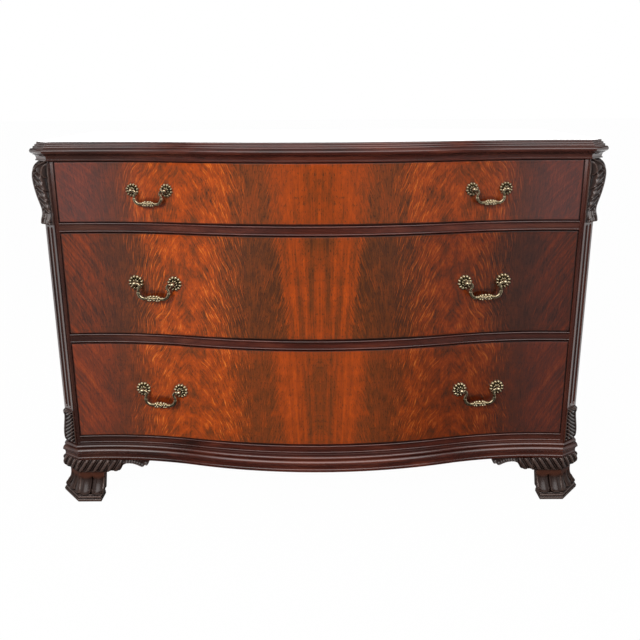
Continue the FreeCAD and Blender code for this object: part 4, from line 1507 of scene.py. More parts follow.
@dataclass(frozen=True)
class Carving:
    """Carved corbels and leaves on the bevelled corners."""

    palette: Palette
    corbel: CorbelSizes = CorbelSizes()
    leaf: LeafSizes = LeafSizes()
    columns: int = 76
    row_pitch: float = 0.55
    skirt: float = 0.01
    wear: Wear = (14, 0.55)

    def build(self) -> Pieces:
        """Model both corbels and both leaves.

        Returns:
            The pieces.
        """
        corbels = self.pair("upper_corbel", self.corbel.half_width, self.corbel.span, self.corbel_height)
        leaves = self.pair("lower_leaf", self.leaf.half_width, self.leaf.span, self.leaf_height)
        return [*corbels, *leaves]

    def pair(self, node: str, half: float, span: Flat,
             height: Callable[[float, float], float]) -> Pieces:
        """Carve a right hand piece and its twin.

        Args:
            node: End of the names of the nodes.
            half: Half its width.
            span: Its lower and upper end.
            height: Height of the relief at a place across and up.

        Returns:
            Both pieces.
        """
        bench = Bench(f"carved_right_{node}")
        low, high = span
        columns = [-half - self.skirt, *spread(-half, half, self.columns), half + self.skirt]
        count = round((high - low) / self.row_pitch)
        rows = [low - self.skirt, *spread(low, high, count), high + self.skirt]

        def place(across: float, up: float) -> Point:
            """Point of the relief, or of the skirt that closes it behind."""
            inside = abs(across) <= half and low <= up <= high
            return on_cant(across, max(height(across, up), 0.05) if inside else -1.0, up)

        bench.relief(columns, rows, place)
        nodes = [f"right_{node}"]
        return bench.finish_pair(Slot.CARVED, self.palette.carved, CASE_BODY, nodes, 0.001, self.wear)

    def rib(self, across: float, middle: float, half: float) -> float:
        """Rounded rib, with a height from 0 to 1."""
        part = (across - middle) / half
        return math.sqrt(1 - part * part) if abs(part) < 1 else 0.0

    def corbel_height(self, across: float, up: float) -> float:
        """Relief of the corbel: overlapping lobes that fall to the front from a smooth outer rib.

        Args:
            across: Place across the bevel, towards the side.
            up: Height above the floor.

        Returns:
            Distance out of the bevel.
        """
        size = self.corbel
        inward = across + size.half_width
        wave_height, wave_length = size.wave
        line = up - size.slant * inward - wave_height * math.sin(inward / wave_length)
        index = max(number for number, lip in enumerate(size.lips) if lip <= max(line, size.lips[0]))
        index = min(index, len(size.lips) - 2)
        low, high = size.lips[index], size.lips[index + 1]
        part = min(max((line - low) / (high - low), 0.0), 1.0)
        rib_middle = smooth_line(size.rib_place, up)
        blade = ease(rib_middle + 1.0, rib_middle - size.blade_fade, across)
        smooth_top = ease(size.lips[-2] - 2, size.lips[-2] + 4, line)
        groove = math.cos(part * math.tau * size.grooves) * (1 - smooth_top)
        if up < size.tip_top:
            groove = math.cos(math.tau * (across + (size.tip_top - up) * size.tip_slant) / size.tip_pitch)
        crease = 1 - ease(0.0, 0.13, part)
        shingle = (1 - part) ** 0.6 * ease(0.02, 0.13, part) - 0.4 * crease + 0.22 * groove
        tip = -size.half_width + 1.0 + 7.0 * part ** 1.4 * (1 - smooth_top)
        edge = ease(tip - 0.2, tip + 2.2, across)
        crown = 1 - size.crown * (min(across, 0.0) / size.half_width) ** 2
        swell = smooth_line(size.swell, up) * crown
        top_fade = ease(size.span[1], size.span[1] - size.top_fade, up)
        relief = 1.2 * shingle * blade * top_fade + 0.7 * (1 - blade)
        carved = swell - size.lip_height + size.lip_height * relief
        carved += size.rib_height * self.rib(across, rib_middle, size.rib_half)
        beside = across - size.eye[0]
        bow = up - size.eye[1] + size.eye_bow * beside ** 2
        carved -= size.eye_depth * math.exp(-(bow / size.eye_half[1]) ** 2 - (beside / size.eye_half[0]) ** 2)
        return carved * (0.25 + 0.75 * edge)

    def leaf_height(self, across: float, up: float) -> float:
        """Relief of the leaf: slanting veins that rise to the front from a stem at the outer side.

        Args:
            across: Place across the bevel, towards the side.
            up: Height above the floor.

        Returns:
            Distance out of the bevel.
        """
        size = self.leaf
        wave_height, wave_length = size.wave
        line = up + size.slant * (across - size.half_width) - wave_height * math.sin(across / wave_length)
        vein = lobe(line / size.vein_pitch, size.vein_fullness)
        rib_middle = smooth_line(size.rib_place, up)
        blade = ease(rib_middle + 1.0, rib_middle - size.blade_fade, across)
        tip = -size.half_width + 0.6 + 3.6 * (1 - vein)
        edge = ease(tip - 0.2, tip + 2.0, across)
        crown = 1 - size.crown * (across / size.half_width) ** 2
        carved = smooth_line(size.swell, up) * crown - size.vein_height * (1 - vein) * blade
        carved += size.rib_height * self.rib(across, rib_middle, size.rib_half)
        outer = ease(size.half_width, size.half_width - size.edge_fade, across)
        return carved * (0.25 + 0.75 * edge) * (0.4 + 0.6 * outer)


@dataclass(frozen=True)
class FootSizes:
    """Sizes of a carved front foot, a bracket of two walls."""

    inner: float = 511
    depth: float = 115
    wall: float = 26
    flare: Curve = (
        (0, 16), (1.2, 17.2), (6.2, 18), (7.1, 17.4), (7.5, 15), (8.6, 14.6), (9.4, 15.6), (12.4, 15.2),
        (13.2, 14.4), (14.4, 11.5), (15.5, 11), (16.2, 12), (17.4, 14.2), (20, 14.6), (23, 13.8),
        (26, 12.4), (30, 10.2), (35, 7.4), (40, 5), (45, 3), (50, 1.5), (56, 0.5), (64, 0), (70, 0),
        (71.5, 1), (73, 4), (77, 7.2), (84, 10), (93, 11.2), (101, 10.6), (105, 8.8), (105.95, 8),
    )
    setback: Curve = (
        (0, 22), (7.5, 22), (7.9, 23), (13.5, 23), (15.5, 21), (18.5, 19), (28, 18), (37, 17), (58, 14.8),
        (70, 14), (71.5, 10), (73, 1), (77, 0), (106, 0),
    )
    side_share: float = 1.43
    pad_bevel: Flat = (0.22, 0.84)
    band_bevel: Flat = (0.0, -0.6)
    pad_top: float = 15.5
    pad_levels: Row = (
        0, 0.6, 1.2, 3.5, 6.2, 6.8, 7.1, 7.5, 8.2, 8.6, 9, 9.4, 11, 12.4, 12.8, 13.2, 14.4, 15, 15.5,
    )
    carved_bottom: float = 15.9
    carved_levels: int = 120
    counts: tuple[int, ...] = (6, 92, 62, 100, 4, 4, 4)
    normals: Curve = ((-1.0, 0.0), (0.0, -1.0), (DIAGONAL, -DIAGONAL), (1.0, 0.0), (0.0, 1.0))
    corner_turn: float = 3.0
    lobe_top: float = 62
    lobe_fade: float = 12
    lobe_depth: float = 8.0
    lobe_fullness: float = 0.8
    lobe_starts: Row = (0.0, 0.0, 0.5)
    lobe_counts: Row = (2.0, 2.5, 3.0)
    scallop: float = 4.5
    scallop_top: float = 28
    cut: float = 3.0
    cut_width: float = 0.08
    band_bottom: float = 70
    band_fade: float = 6
    band_starts: Row = (0.0, 74.0, 116.0)
    gadroon: float = 17.0
    gadroon_broad: float = 0.78
    gadroon_depth: float = 5.6
    gadroon_level: float = 94
    gadroon_slant: float = 0.65


@dataclass(frozen=True)
class WingSizes:
    """Sizes of a carved wing beside a front foot."""

    length: float = 100
    thickness: float = 22
    relief: float = 5.0
    stand: float = 10
    edge: Curve = (
        (0, -28.5), (10, -29), (20, -29), (28, -26), (32, -19), (36, -12), (42, -8), (51, -7), (62, -8.5),
        (72, -12.5), (80, -16.5), (84, -16.5), (88, -12.5), (93, -13.4), (96, -10.5), (100, -0.4),
    )
    rope_height: float = 7.0
    rope_depth: float = 0.8
    rope_end: Flat = (30, 36)
    rim_growth: float = 40
    shell_height: float = 5.0
    shell_width: float = 4.0
    vein_height: float = 1.6
    vein_pitch: float = 7.0
    vein_fade: float = 40
    skirt: float = 0.01


@dataclass(frozen=True)
class Feet:
    """Carved front feet with their wings."""

    palette: Palette
    foot: FootSizes = FootSizes()
    wing: WingSizes = WingSizes()
    top: float = CASE.foot_height - 0.05
    foot_wear: Wear = (14, 0.45)
    wing_wear: Wear = (12, 0.5)

    def build(self) -> Pieces:
        """Model both front feet and their wings."""
        return [*self.front_foot(), *self.wings()]

    def corners(self, height: float) -> list[Flat]:
        """Corners of the foot at one height, before carving.

        Args:
            height: Height above the floor.

        Returns:
            The corners: inner end, front, both ends of the bevel, back end and the inside of the walls.
        """
        size = self.foot
        flare = straight_line(size.flare, height)
        setback = straight_line(size.setback, height)
        front_share, back_share = size.band_bevel if height > size.band_bottom else size.pad_bevel
        front = CASE.cant_front - flare
        side = CASE.half_width + flare * size.side_share
        bevel_front = CASE.cant_start + flare * front_share
        bevel_side = CASE.cant_front + CASE.cant + flare * back_share
        inner = size.inner + setback
        back = CASE.cant_front + size.depth - setback
        wall_x = CASE.half_width - size.wall
        wall_y = CASE.cant_front + size.wall
        return [(inner, wall_y), (inner, front), (bevel_front, front), (side, bevel_side), (side, back),
                (wall_x, back), (wall_x, wall_y)]

    def gadroon(self, along: float, height: float) -> float:
        """Height of the slanting rope: broad lobes with narrow fillets between them.

        Args:
            along: Distance along the band.
            height: Height above the floor.

        Returns:
            A height from 0 to 1.
        """
        size = self.foot
        part = ((along + (height - size.gadroon_level) * size.gadroon_slant) / size.gadroon) % 1.0
        broad = size.gadroon_broad
        if part < broad:
            return lobe(part / broad * 0.999, 0.65)
        return 0.5 * lobe((part - broad) / (1 - broad) * 0.999, 0.8)

    def sink(self, side: int, part: float, along: float, height: float) -> tuple[float, float]:
        """Depth of the carving below the full shape of the foot.

        Args:
            side: 0 for the front, 1 for the bevel, 2 for the outer side.
            part: Share of the side passed.
            along: Distance along the band round the foot.
            height: Height above the floor.

        Returns:
            The depth, and the height at which the full shape is read.
        """
        size = self.foot
        if height <= size.pad_top or size.lobe_top < height <= size.band_bottom:
            return 0.0, height
        if height > size.band_bottom:
            banded = ease(size.band_bottom, size.band_bottom + size.band_fade, height)
            return size.gadroon_depth * (1 - self.gadroon(along, height)) * banded, height
        place = size.lobe_starts[side] + part * size.lobe_counts[side] * 0.9999
        swelling = lobe(place, size.lobe_fullness)
        valley = abs(place - round(place))
        cut = size.cut * max(1 - valley / size.cut_width, 0.0)
        fade = ease(size.lobe_top, size.lobe_top - size.lobe_fade, height)
        depth = (size.lobe_depth * (1 - swelling) + cut) * fade
        if height > size.scallop_top:
            return depth, height
        return depth, max(height - size.scallop * (1 - swelling) ** 2, size.pad_top)

    def foot_point(self, column: float, height: float) -> Point:
        """Point on the skin of the right foot.

        Args:
            column: Number of the side, and the share of it that is passed.
            height: Height above the floor.

        Returns:
            The point.
        """
        size = self.foot
        side = min(int(column), len(size.counts) - 1)
        part = column - side
        ring = self.corners(height)
        (x0, y0), (x1, y1) = ring[side], ring[(side + 1) % len(ring)]
        if not 1 <= side <= len(size.band_starts):
            return x0 + (x1 - x0) * part, y0 + (y1 - y0) * part, height
        length = math.hypot(x1 - x0, y1 - y0)
        depth, read = self.sink(side - 1, part, size.band_starts[side - 1] + part * length, height)
        if read != height:
            ring = self.corners(read)
            (x0, y0), (x1, y1) = ring[side], ring[side + 1]
        near = size.corner_turn / length
        normal = Vector(size.normals[side])
        if part < near:
            normal = normal.lerp(Vector(size.normals[side - 1]), 0.5 - 0.5 * part / near)
        if part > 1 - near:
            normal = normal.lerp(Vector(size.normals[side + 1]), 0.5 - 0.5 * (1 - part) / near)
        return x0 + (x1 - x0) * part - normal.x * depth, y0 + (y1 - y0) * part - normal.y * depth, height

    def front_foot(self) -> Pieces:
        """Model the right front foot and its twin.

        Returns:
            Both feet.
        """
        size = self.foot
        levels = [*size.pad_levels, *spread(size.carved_bottom, self.top, size.carved_levels)]
        columns = [side + step / count for side, count in enumerate(size.counts) for step in range(count)]
        columns.append(float(len(size.counts)))
        bench = Bench("carved_right_foot")
        bench.relief(columns, levels, self.foot_point)
        with bench.editing():
            bpy.ops.mesh.remove_doubles(threshold=0.002)
            bpy.ops.mesh.fill_holes(sides=0)
        nodes = ["right_front_foot"]
        return bench.finish_pair(Slot.CARVED, self.palette.carved, CASE_BODY, nodes, 0.002, self.foot_wear)

    def wing_point(self, run: float, turn: float) -> tuple[float, float]:
        """Place on the skin of a wing: out of its plane and height.

        Args:
            run: Distance from the foot.
            turn: 0 to 1 down the face, 1 to 2 under the edge, 2 to 3 up the back.

        Returns:
            The distance in front of the back of the wing, and the height.
        """
        size = self.wing
        low = self.top + smooth_line(size.edge, run)
        if turn >= 2:
            return 0.0, low + (self.top - low) * (turn - 2)
        face = size.thickness - size.relief
        if turn > 1:
            return face * (2 - turn), low
        height = self.top + (low - self.top) * turn
        rope = size.rope_height * lobe(0.12 + 0.80 * turn, 0.6)
        rope -= self.foot.gadroon_depth * size.rope_depth * (1 - self.gadroon(-run, height))
        tip = ease(*size.rope_end, run)
        rim = 0.5 + 0.5 * ease(0, size.rim_growth, run)
        shell = size.shell_height * rim * math.exp(-((1 - turn) * (self.top - low) / size.shell_width) ** 2)
        vein = lobe(run / size.vein_pitch + (self.top - height) / (2 * size.vein_pitch), 0.8)
        vein_fade = ease(size.length, size.length - size.vein_fade, run)
        leaf = shell + size.vein_height * vein * vein_fade
        return face + rope * (1 - tip) + leaf * tip * ease(size.length + 1, size.length - 8, run), height

    def wing_spot(self, run: float, turn: float) -> Point:
        """Place on the skin of a wing, with its ends closed.

        Args:
            run: Distance from the foot, a little past either end to close it.
            turn: Way round the wing, from the top of its face to the top of its back.

        Returns:
            The distance from the foot, the distance in front of its back, and the height.
        """
        held = min(max(run, 0.0), self.wing.length)
        away, height = self.wing_point(held, turn)
        return held, away if held == run else 0.0, height

    def wings(self) -> Pieces:
        """Model the front and side wings of both front feet.

        Returns:
            The wings of the right foot and those of the left foot.
        """
        size = self.wing
        runs = [-size.skirt, *spread(0, size.length, 126), size.length + size.skirt]
        turns = [*spread(0, 1, 34), *spread(1.1, 2, 6), *spread(2.25, 3, 4)]
        plane_y = CASE.cant_front - size.stand + size.thickness
        plane_x = CASE.half_width + size.stand - size.thickness
        side_start = CASE.cant_front + self.foot.depth

        def front(run: float, turn: float) -> Point:
            """Point of the front wing."""
            held, away, height = self.wing_spot(run, turn)
            return self.foot.inner - held, plane_y - away, height

        def flank(run: float, turn: float) -> Point:
            """Point of the side wing."""
            held, away, height = self.wing_spot(run, turn)
            return plane_x + away, side_start + held, height

        bench = Bench("carved_right_wings")
        bench.relief(runs, turns, front)
        bench.relief(runs, turns, flank)
        nodes = ["right_foot_wings"]
        return bench.finish_pair(Slot.CARVED, self.palette.carved, CASE_BODY, nodes, 0.001, self.wing_wear)


@dataclass(frozen=True)
class DrawerSizes:
    """Place of one drawer and its handles."""

    level: str
    floor: float
    head: float
    pivot: float
    spacing: float
    stem: float
    pattern: float
    plume_depth: float
    haze: float
    dusk: float


# For each drawer, haze and the last value set the painted reflection haze at its ends and the painted shade
# on its right half.
DRAWERS = (
    DrawerSizes("lower", CASE.lower_floor, CASE.lower_head, pivot=287.75, spacing=88.9, stem=152, pattern=3.1,
                plume_depth=0.7, haze=0.2, dusk=1.0),
    DrawerSizes("middle", CASE.middle_floor, CASE.middle_head, pivot=543.5, spacing=88.9, stem=148,
                pattern=11.7, plume_depth=1.0, haze=0.15, dusk=1.0),
    DrawerSizes("upper", CASE.upper_floor, CASE.cornice, pivot=749.75, spacing=76.2, stem=150, pattern=23.4,
                plume_depth=0.7, haze=0.5, dusk=0.45),
)
HANDLE_X = 368.0


@dataclass(frozen=True)
class Drawers:
    """Veneered drawer fronts."""

    thickness: float = 22.0
    half_width: float = 573.5
    round_over: float = 0.9
    bottom_gap: float = 1.0
    top_gap: float = 1.5
    overrun: float = 12
    # How far the painted bail shadow sits below the pivot.
    patch_drop: float = 27.0

    def build(self) -> Pieces:
        """Model the three fronts."""
        return [self.front(drawer) for drawer in DRAWERS]

    def front(self, drawer: DrawerSizes) -> Piece:
        """Model one bowed front.

        Args:
            drawer: Its place.

        Returns:
            The front.
        """
        low = drawer.floor + self.bottom_gap
        high = drawer.head - self.top_gap
        soft = self.round_over
        profile = [(-self.thickness, low), (-soft, low), (-soft * 0.3, low + soft * 0.3), (0, low + soft)]
        profile += [(0, height) for height in spread(low + 8, high - 8, 7)]
        profile += [(0, high - soft), (-soft * 0.3, high - soft * 0.3), (-soft, high)]
        profile.append((-self.thickness, high))
        bench = Bench(f"{drawer.level}_veneered_front")
        CASE_PLAN.sweep(bench, profile, CASE.half_opening + self.overrun)
        with bench.editing():
            bench.trim((self.half_width, 0, 0), (1, 0, 0))
            bench.trim((-self.half_width, 0, 0), (-1, 0, 0))
        veneer = FlameVeneer(f"{drawer.level}_flame_veneer", drawer.floor, drawer.head - drawer.floor,
                             drawer.pattern, drawer.stem, drawer.plume_depth, drawer.haze, drawer.dusk,
                             (HANDLE_X, drawer.pivot - self.patch_drop))
        body = f"{drawer.level}_drawer"
        return bench.finish(Slot.FLAME, veneer.make(), body, [f"{drawer.level}_drawer_front"])


@dataclass(frozen=True)
class HandlePlace:
    """Place of one handle, square to the hollow of the drawer front."""

    side: Side
    height: float
    spacing: float
    handle_x: float = HANDLE_X
    full_spacing: float = 88.9
    full_reach: float = 15.0

    @property
    def scale(self) -> float:
        """Size against a handle of the large drawers."""
        return self.spacing / self.full_spacing

    @property
    def turn(self) -> float:
        """Turn of the handle to the front of the chest."""
        return self.side.value * math.asin((CASE_PLAN.hollow_x - self.handle_x) / CASE_PLAN.hollow_radius)

    @property
    def post_turns(self) -> tuple[float, float]:
        """Turns of the two posts."""
        half = math.asin(self.spacing / 2 / (CASE_PLAN.hollow_radius - self.reach))
        return self.turn - half, self.turn + half

    @property
    def reach(self) -> float:
        """Distance from the drawer face to the pivot."""
        return self.full_reach * self.scale

    def spot(self, turn: float, out: float) -> Vector:
        """Point in front of the drawer face.

        Args:
            turn: Turn of the ray on which it lies.
            out: Distance from the face.

        Returns:
            The point.
        """
        radius = CASE_PLAN.hollow_radius - out
        x = self.side.value * CASE_PLAN.hollow_x - radius * math.sin(turn)
        return Vector((x, CASE_PLAN.hollow_y + radius * math.cos(turn), self.height))

    def post_frame(self, turn: float) -> Matrix:
        """Frame of one post, with Z out of the drawer face and Y up.

        Args:
            turn: Turn of the post.

        Returns:
            The frame, scaled to the size of the handle.
        """
        sideways = Vector((math.cos(turn), math.sin(turn), 0))
        outward = Vector((math.sin(turn), -math.cos(turn), 0))
        columns = Matrix((sideways, (0, 0, 1), outward)).transposed().to_4x4()
        return Matrix.Translation(self.spot(turn, 0)) @ columns @ Matrix.Scale(self.scale, 4)

    def bail_frame(self) -> Matrix:
        """Frame of the bail, with X along the pivots and Z up.

        Returns:
            The frame, scaled to the size of the handle.
        """
        ends = [self.spot(turn, self.reach) for turn in self.post_turns]
        sideways = Vector((math.cos(self.turn), math.sin(self.turn), 0))
        backward = Vector((-math.sin(self.turn), math.cos(self.turn), 0))
        columns = Matrix((sideways, backward, (0, 0, 1))).transposed().to_4x4()
        return Matrix.Translation((ends[0] + ends[1]) / 2) @ columns @ Matrix.Scale(self.scale, 4)


@dataclass(frozen=True)
class BailSizes:
    """Sizes of a bail of the large drawers, hanging down from its pivots."""

    pin_end: float = 43.5
    pin_radius: float = 2.0
    hook: float = 38.25
    bend: float = 6.0
    arm: float = 35.8
    fall: float = 11.0
    drop: float = 33.5
    sweep: float = 14.5
    hook_swell: float = 1.5
    knee_swell: float = 1.35
    grip_swell: float = 1.08
    reed_depth: float = 0.26
    reed_width: float = 0.4


@dataclass(frozen=True)
class RosetteSizes:
    """Sizes of a flower plate of the large drawers."""

    petals: int = 12
    inner_petals: int = 8
    fullness: float = 0.6
    rim: float = 14.4
    petal_reach: float = 3.3
    petal_root: float = 8.0
    petal_height: float = 5.4
    inner_root: float = 2.6
    inner_length: float = 7.4
    inner_height: float = 6.2
    back: float = 0.3


@dataclass(frozen=True)
class PostSizes:
    """Sizes of a handle post of the large drawers."""

    shank: Curve = (
        (0.0, -27.0), (2.5, -27.0), (2.5, 2.9), (5.2, 3.0), (5.6, 3.8), (5.2, 4.6), (4.2, 5.0), (3.1, 6.0),
        (2.9, 7.2), (3.3, 8.4), (4.0, 9.2), (3.4, 10.4), (0.0, 10.6),
    )
    reach: float = 15
    ball: float = 5.5
    hole_start: float = 0.4
    hole_radius: float = 2.06
    hole_depth: float = 9.0


@dataclass(frozen=True)
class GripBall:
    """An egg-shaped ball of the grip, placed from the middle of the lowest run of the bail."""

    place: Point
    radii: Point
    segments: int
    rings: int


@dataclass(frozen=True)
class GripSizes:
    """Beads and rolls on the right half of the grip, and the flower in its middle."""

    rolls: tuple[GripBall, ...] = (
        GripBall((21.0, 0, 0), (1.3, 5.0, 5.0), 20, 10),
        GripBall((18.4, 0, 0), (1.6, 5.8, 5.8), 20, 10),
        GripBall((15.6, 0, 0), (1.2, 5.0, 5.0), 20, 10),
        GripBall((12.4, -0.4, 3.8), (3.0, 4.2, 3.6), 16, 10),
        GripBall((12.8, -0.4, -3.4), (2.8, 4.0, 3.1), 16, 10),
        GripBall((7.4, -0.4, 5.2), (3.2, 4.4, 3.9), 16, 10),
        GripBall((7.6, -0.4, -4.0), (3.0, 4.2, 3.2), 16, 10),
        GripBall((9.8, -4.0, 0.5), (1.9, 1.8, 2.0), 12, 8),
    )
    flower: tuple[GripBall, ...] = (
        GripBall((0, -0.2, 4.8), (3.9, 4.0, 4.2), 20, 12),
        GripBall((0, -0.2, -3.2), (4.2, 4.0, 3.4), 20, 12),
        GripBall((0, -4.0, 0.7), (2.4, 2.3, 2.5), 16, 10),
        GripBall((-3.8, -3.2, 0.9), (1.9, 1.9, 3.0), 14, 8),
        GripBall((3.8, -3.2, 0.9), (1.9, 1.9, 3.0), 14, 8),
    )


@dataclass(frozen=True)
class Handles:
    """Cast brass handles: flower rosettes, posts and bails."""

    palette: Palette
    bail_size: BailSizes = BailSizes()
    rosette_size: RosetteSizes = RosetteSizes()
    post_size: PostSizes = PostSizes()
    grip_size: GripSizes = GripSizes()
    fixed_wear: Wear = (6, 0.24)
    bail_wear: Wear = (6, 0.22)

    def build(self) -> Pieces:
        """Model the handles of the three drawers.

        Returns:
            The pieces.
        """
        pieces = []
        for drawer in DRAWERS:
            places = [HandlePlace(side, drawer.pivot, drawer.spacing) for side in Side]
            pieces.append(self.fixed(drawer.level, "rosettes", places, self.rosette))
            pieces.append(self.fixed(drawer.level, "posts", places, self.post))
            pieces += [self.bail(drawer.level, place) for place in places]
        return pieces

    def fixed(self, level: str, kind: str, places: Sequence[HandlePlace],
              model: Callable[[Bench, int], None]) -> Piece:
        """Model the four rosettes or posts of one drawer.

        Args:
            level: Drawer.
            kind: Kind of piece, as in the node names.
            places: Its handles.
            model: Adds one piece at the origin.

        Returns:
            The four as one piece.
        """
        whole = Bench(f"{level}_cast_{kind}")
        for place in places:
            for number, turn in enumerate(place.post_turns):
                single = Bench(kind)
                model(single, number)
                single.join(0.005)
                single.move(place.post_frame(turn))
                whole.parts += single.parts
        nodes = [f"{level}_handle_{kind}"]
        return whole.finish(Slot.BRASS, self.palette.brass, f"{level}_drawer", nodes, 0.0005, self.fixed_wear)

    def turned(self, bench: Bench, outline: Sequence[Flat], steps: int = 40) -> None:
        """Add a turned part on the Z axis.

        Args:
            bench: Piece that gets the part.
            outline: Points of radius and height.
            steps: Faces round the part.
        """
        bench.outline([(radius, 0, height) for radius, height in outline], False)
        with bench.editing():
            bench.spin(math.tau, (0, 0, 0), (0, 0, 1), steps)
            bpy.ops.mesh.remove_doubles(threshold=0.002)

    def rosette(self, bench: Bench, number: int) -> None:
        """Add a flower plate with two rings of petals.

        Args:
            bench: Piece that gets the plate.
            number: Which post of the handle it belongs to.
        """
        size = self.rosette_size

        def place(angle: float, part: float) -> Point:
            """Point of the plate.

            Args:
                angle: Turn about its middle.
                part: 0 in the middle, 1 at the rim and 2 in the middle of the back.

            Returns:
                The point.
            """
            if part > 1.5:
                return 0.0, 0.0, size.back
            outer = lobe(size.petals * angle / math.tau, size.fullness)
            inner = lobe(size.inner_petals * angle / math.tau, size.fullness)
            rim = size.rim + size.petal_reach * outer
            radius = rim * min(part, 1.0)
            spot = (radius * math.cos(angle + number), radius * math.sin(angle + number))
            if part > 1:
                return *spot, size.back
            along_outer = min(max((radius - size.petal_root) / (rim - size.petal_root), 0.0), 0.999)
            along_inner = min(max((radius - size.inner_root) / size.inner_length, 0.0), 0.999)
            far = size.petal_height * lobe(along_outer * 0.92, size.fullness)
            near = size.inner_height * lobe(along_inner, size.fullness)
            return *spot, max(0.6 + far * (0.1 + 0.9 * outer), 1.0 + near * (0.1 + 0.9 * inner))

        bench.relief(spread(0, math.tau, 193), [*spread(0, 1, 30), 1.01, 2.0], place)

    def post(self, bench: Bench, number: int) -> None:
        """Add a turned post with the ball that holds a pivot pin.

        Args:
            bench: Piece that gets the post.
            number: Which post of the handle it is.
        """
        size = self.post_size
        self.turned(bench, size.shank)
        bench.ball((0, 0, size.reach), (size.ball, size.ball, size.ball), 32, 18)
        hole = Bench("hole")
        inward = -1 if number else 1
        start = (size.hole_start * inward, 0, size.reach)
        self.rod(hole, start, size.hole_radius, size.hole_depth * inward)
        bench.carve_out(hole)

    def rod(self, bench: Bench, start: Point, radius: float, length: float) -> None:
        """Add a plain rod along X.

        Args:
            bench: Piece that gets the rod.
            start: Middle of one end.
            radius: Its radius.
            length: Its length, below 0 to the left.
        """
        x, y, z = start
        bench.outline([(x, y + radius * math.cos(angle), z + radius * math.sin(angle))
                       for angle in round_turn(24)])
        with bench.editing():
            bpy.ops.mesh.edge_face_add()
            bench.extrude((length, 0, 0))

    def bail(self, level: str, place: HandlePlace) -> Piece:
        """Model one bail: reeded swan-neck arms and a carved grip.

        Args:
            level: Drawer.
            place: Its handle.

        Returns:
            The bail.
        """
        bench = Bench(f"{level}_{place.side.word}_cast_bail")
        self.arm(bench)
        self.balls(bench, self.grip_size.rolls)
        bench.join(0.003)
        bench.modify("MIRROR", {"use_axis": (True, False, False), "use_clip": True, "merge_threshold": 0.002})
        self.balls(bench, self.grip_size.flower)
        bench.join(0.002)
        bench.move(place.bail_frame())
        name = f"{level}_{place.side.word}_bail"
        return bench.finish(Slot.BRASS, self.palette.brass, name, [name], 0.0005, self.bail_wear)

    def arm(self, bench: Bench) -> None:
        """Add the pin and the bent arm of the right half.

        Args:
            bench: Piece that gets the arm.
        """
        size = self.bail_size
        ring = []
        for angle in round_turn(28):
            reed = 1 - size.reed_depth * math.exp(-((angle - math.pi) / size.reed_width) ** 2)
            radius = size.pin_radius * reed
            ring.append((size.pin_end, radius * math.cos(angle), radius * math.sin(angle)))
        bench.outline(ring)
        neck = size.hook - size.bend
        swing = size.arm - neck
        turn = 2 * math.atan(swing / size.fall)
        radius = size.fall / (2 * math.sin(turn))
        knee = size.drop - size.sweep
        forward = (0, -1, 0)
        with bench.editing():
            bpy.ops.mesh.edge_face_add()
            bench.extrude((size.hook - size.pin_end, 0, 0))
            self.swell(size.hook_swell, (size.hook, 0, 0))
            bench.spin(math.pi / 2, (size.hook, 0, -size.bend), forward, 8)
            bench.spin(turn, (neck + radius, 0, -size.bend), forward, 6)
            bench.spin(-turn, (size.arm - radius, 0, -size.bend - size.fall), forward, 6)
            bench.extrude((0, 0, -knee + size.bend + size.fall))
            self.swell(size.knee_swell, (size.arm, 0, -knee))
            bench.spin(-math.pi / 2, (size.arm - size.sweep, 0, -knee), forward, 12)
            self.swell(size.grip_swell, (size.arm - size.sweep, 0, -size.drop))
            for _ in range(4):
                bench.extrude(((size.sweep - size.arm) / 4, 0, 0))
            bpy.ops.mesh.delete(type="ONLY_FACE")

    def swell(self, share: float, centre: Point) -> None:
        """Widen or narrow the selected ring."""
        bpy.ops.transform.resize(value=(share, share, share), center_override=centre)

    def balls(self, bench: Bench, balls: Sequence[GripBall]) -> None:
        """Add balls along the lowest run of the bail.

        Args:
            bench: Piece that gets them.
            balls: The balls.
        """
        for ball in balls:
            x, y, up = ball.place
            bench.ball((x, y, up - self.bail_size.drop), ball.radii, ball.segments, ball.rings)


# Stage


@dataclass(frozen=True)
class CameraSizes:
    """Place of the camera, as found from the photograph."""

    place: Point = (-0.00091, -1.8884, 0.9463)
    lens: float = 43.28
    sensor: float = 36.0
    pitch: float = 16.299
    yaw: float = 0.045
    roll: float = -0.27


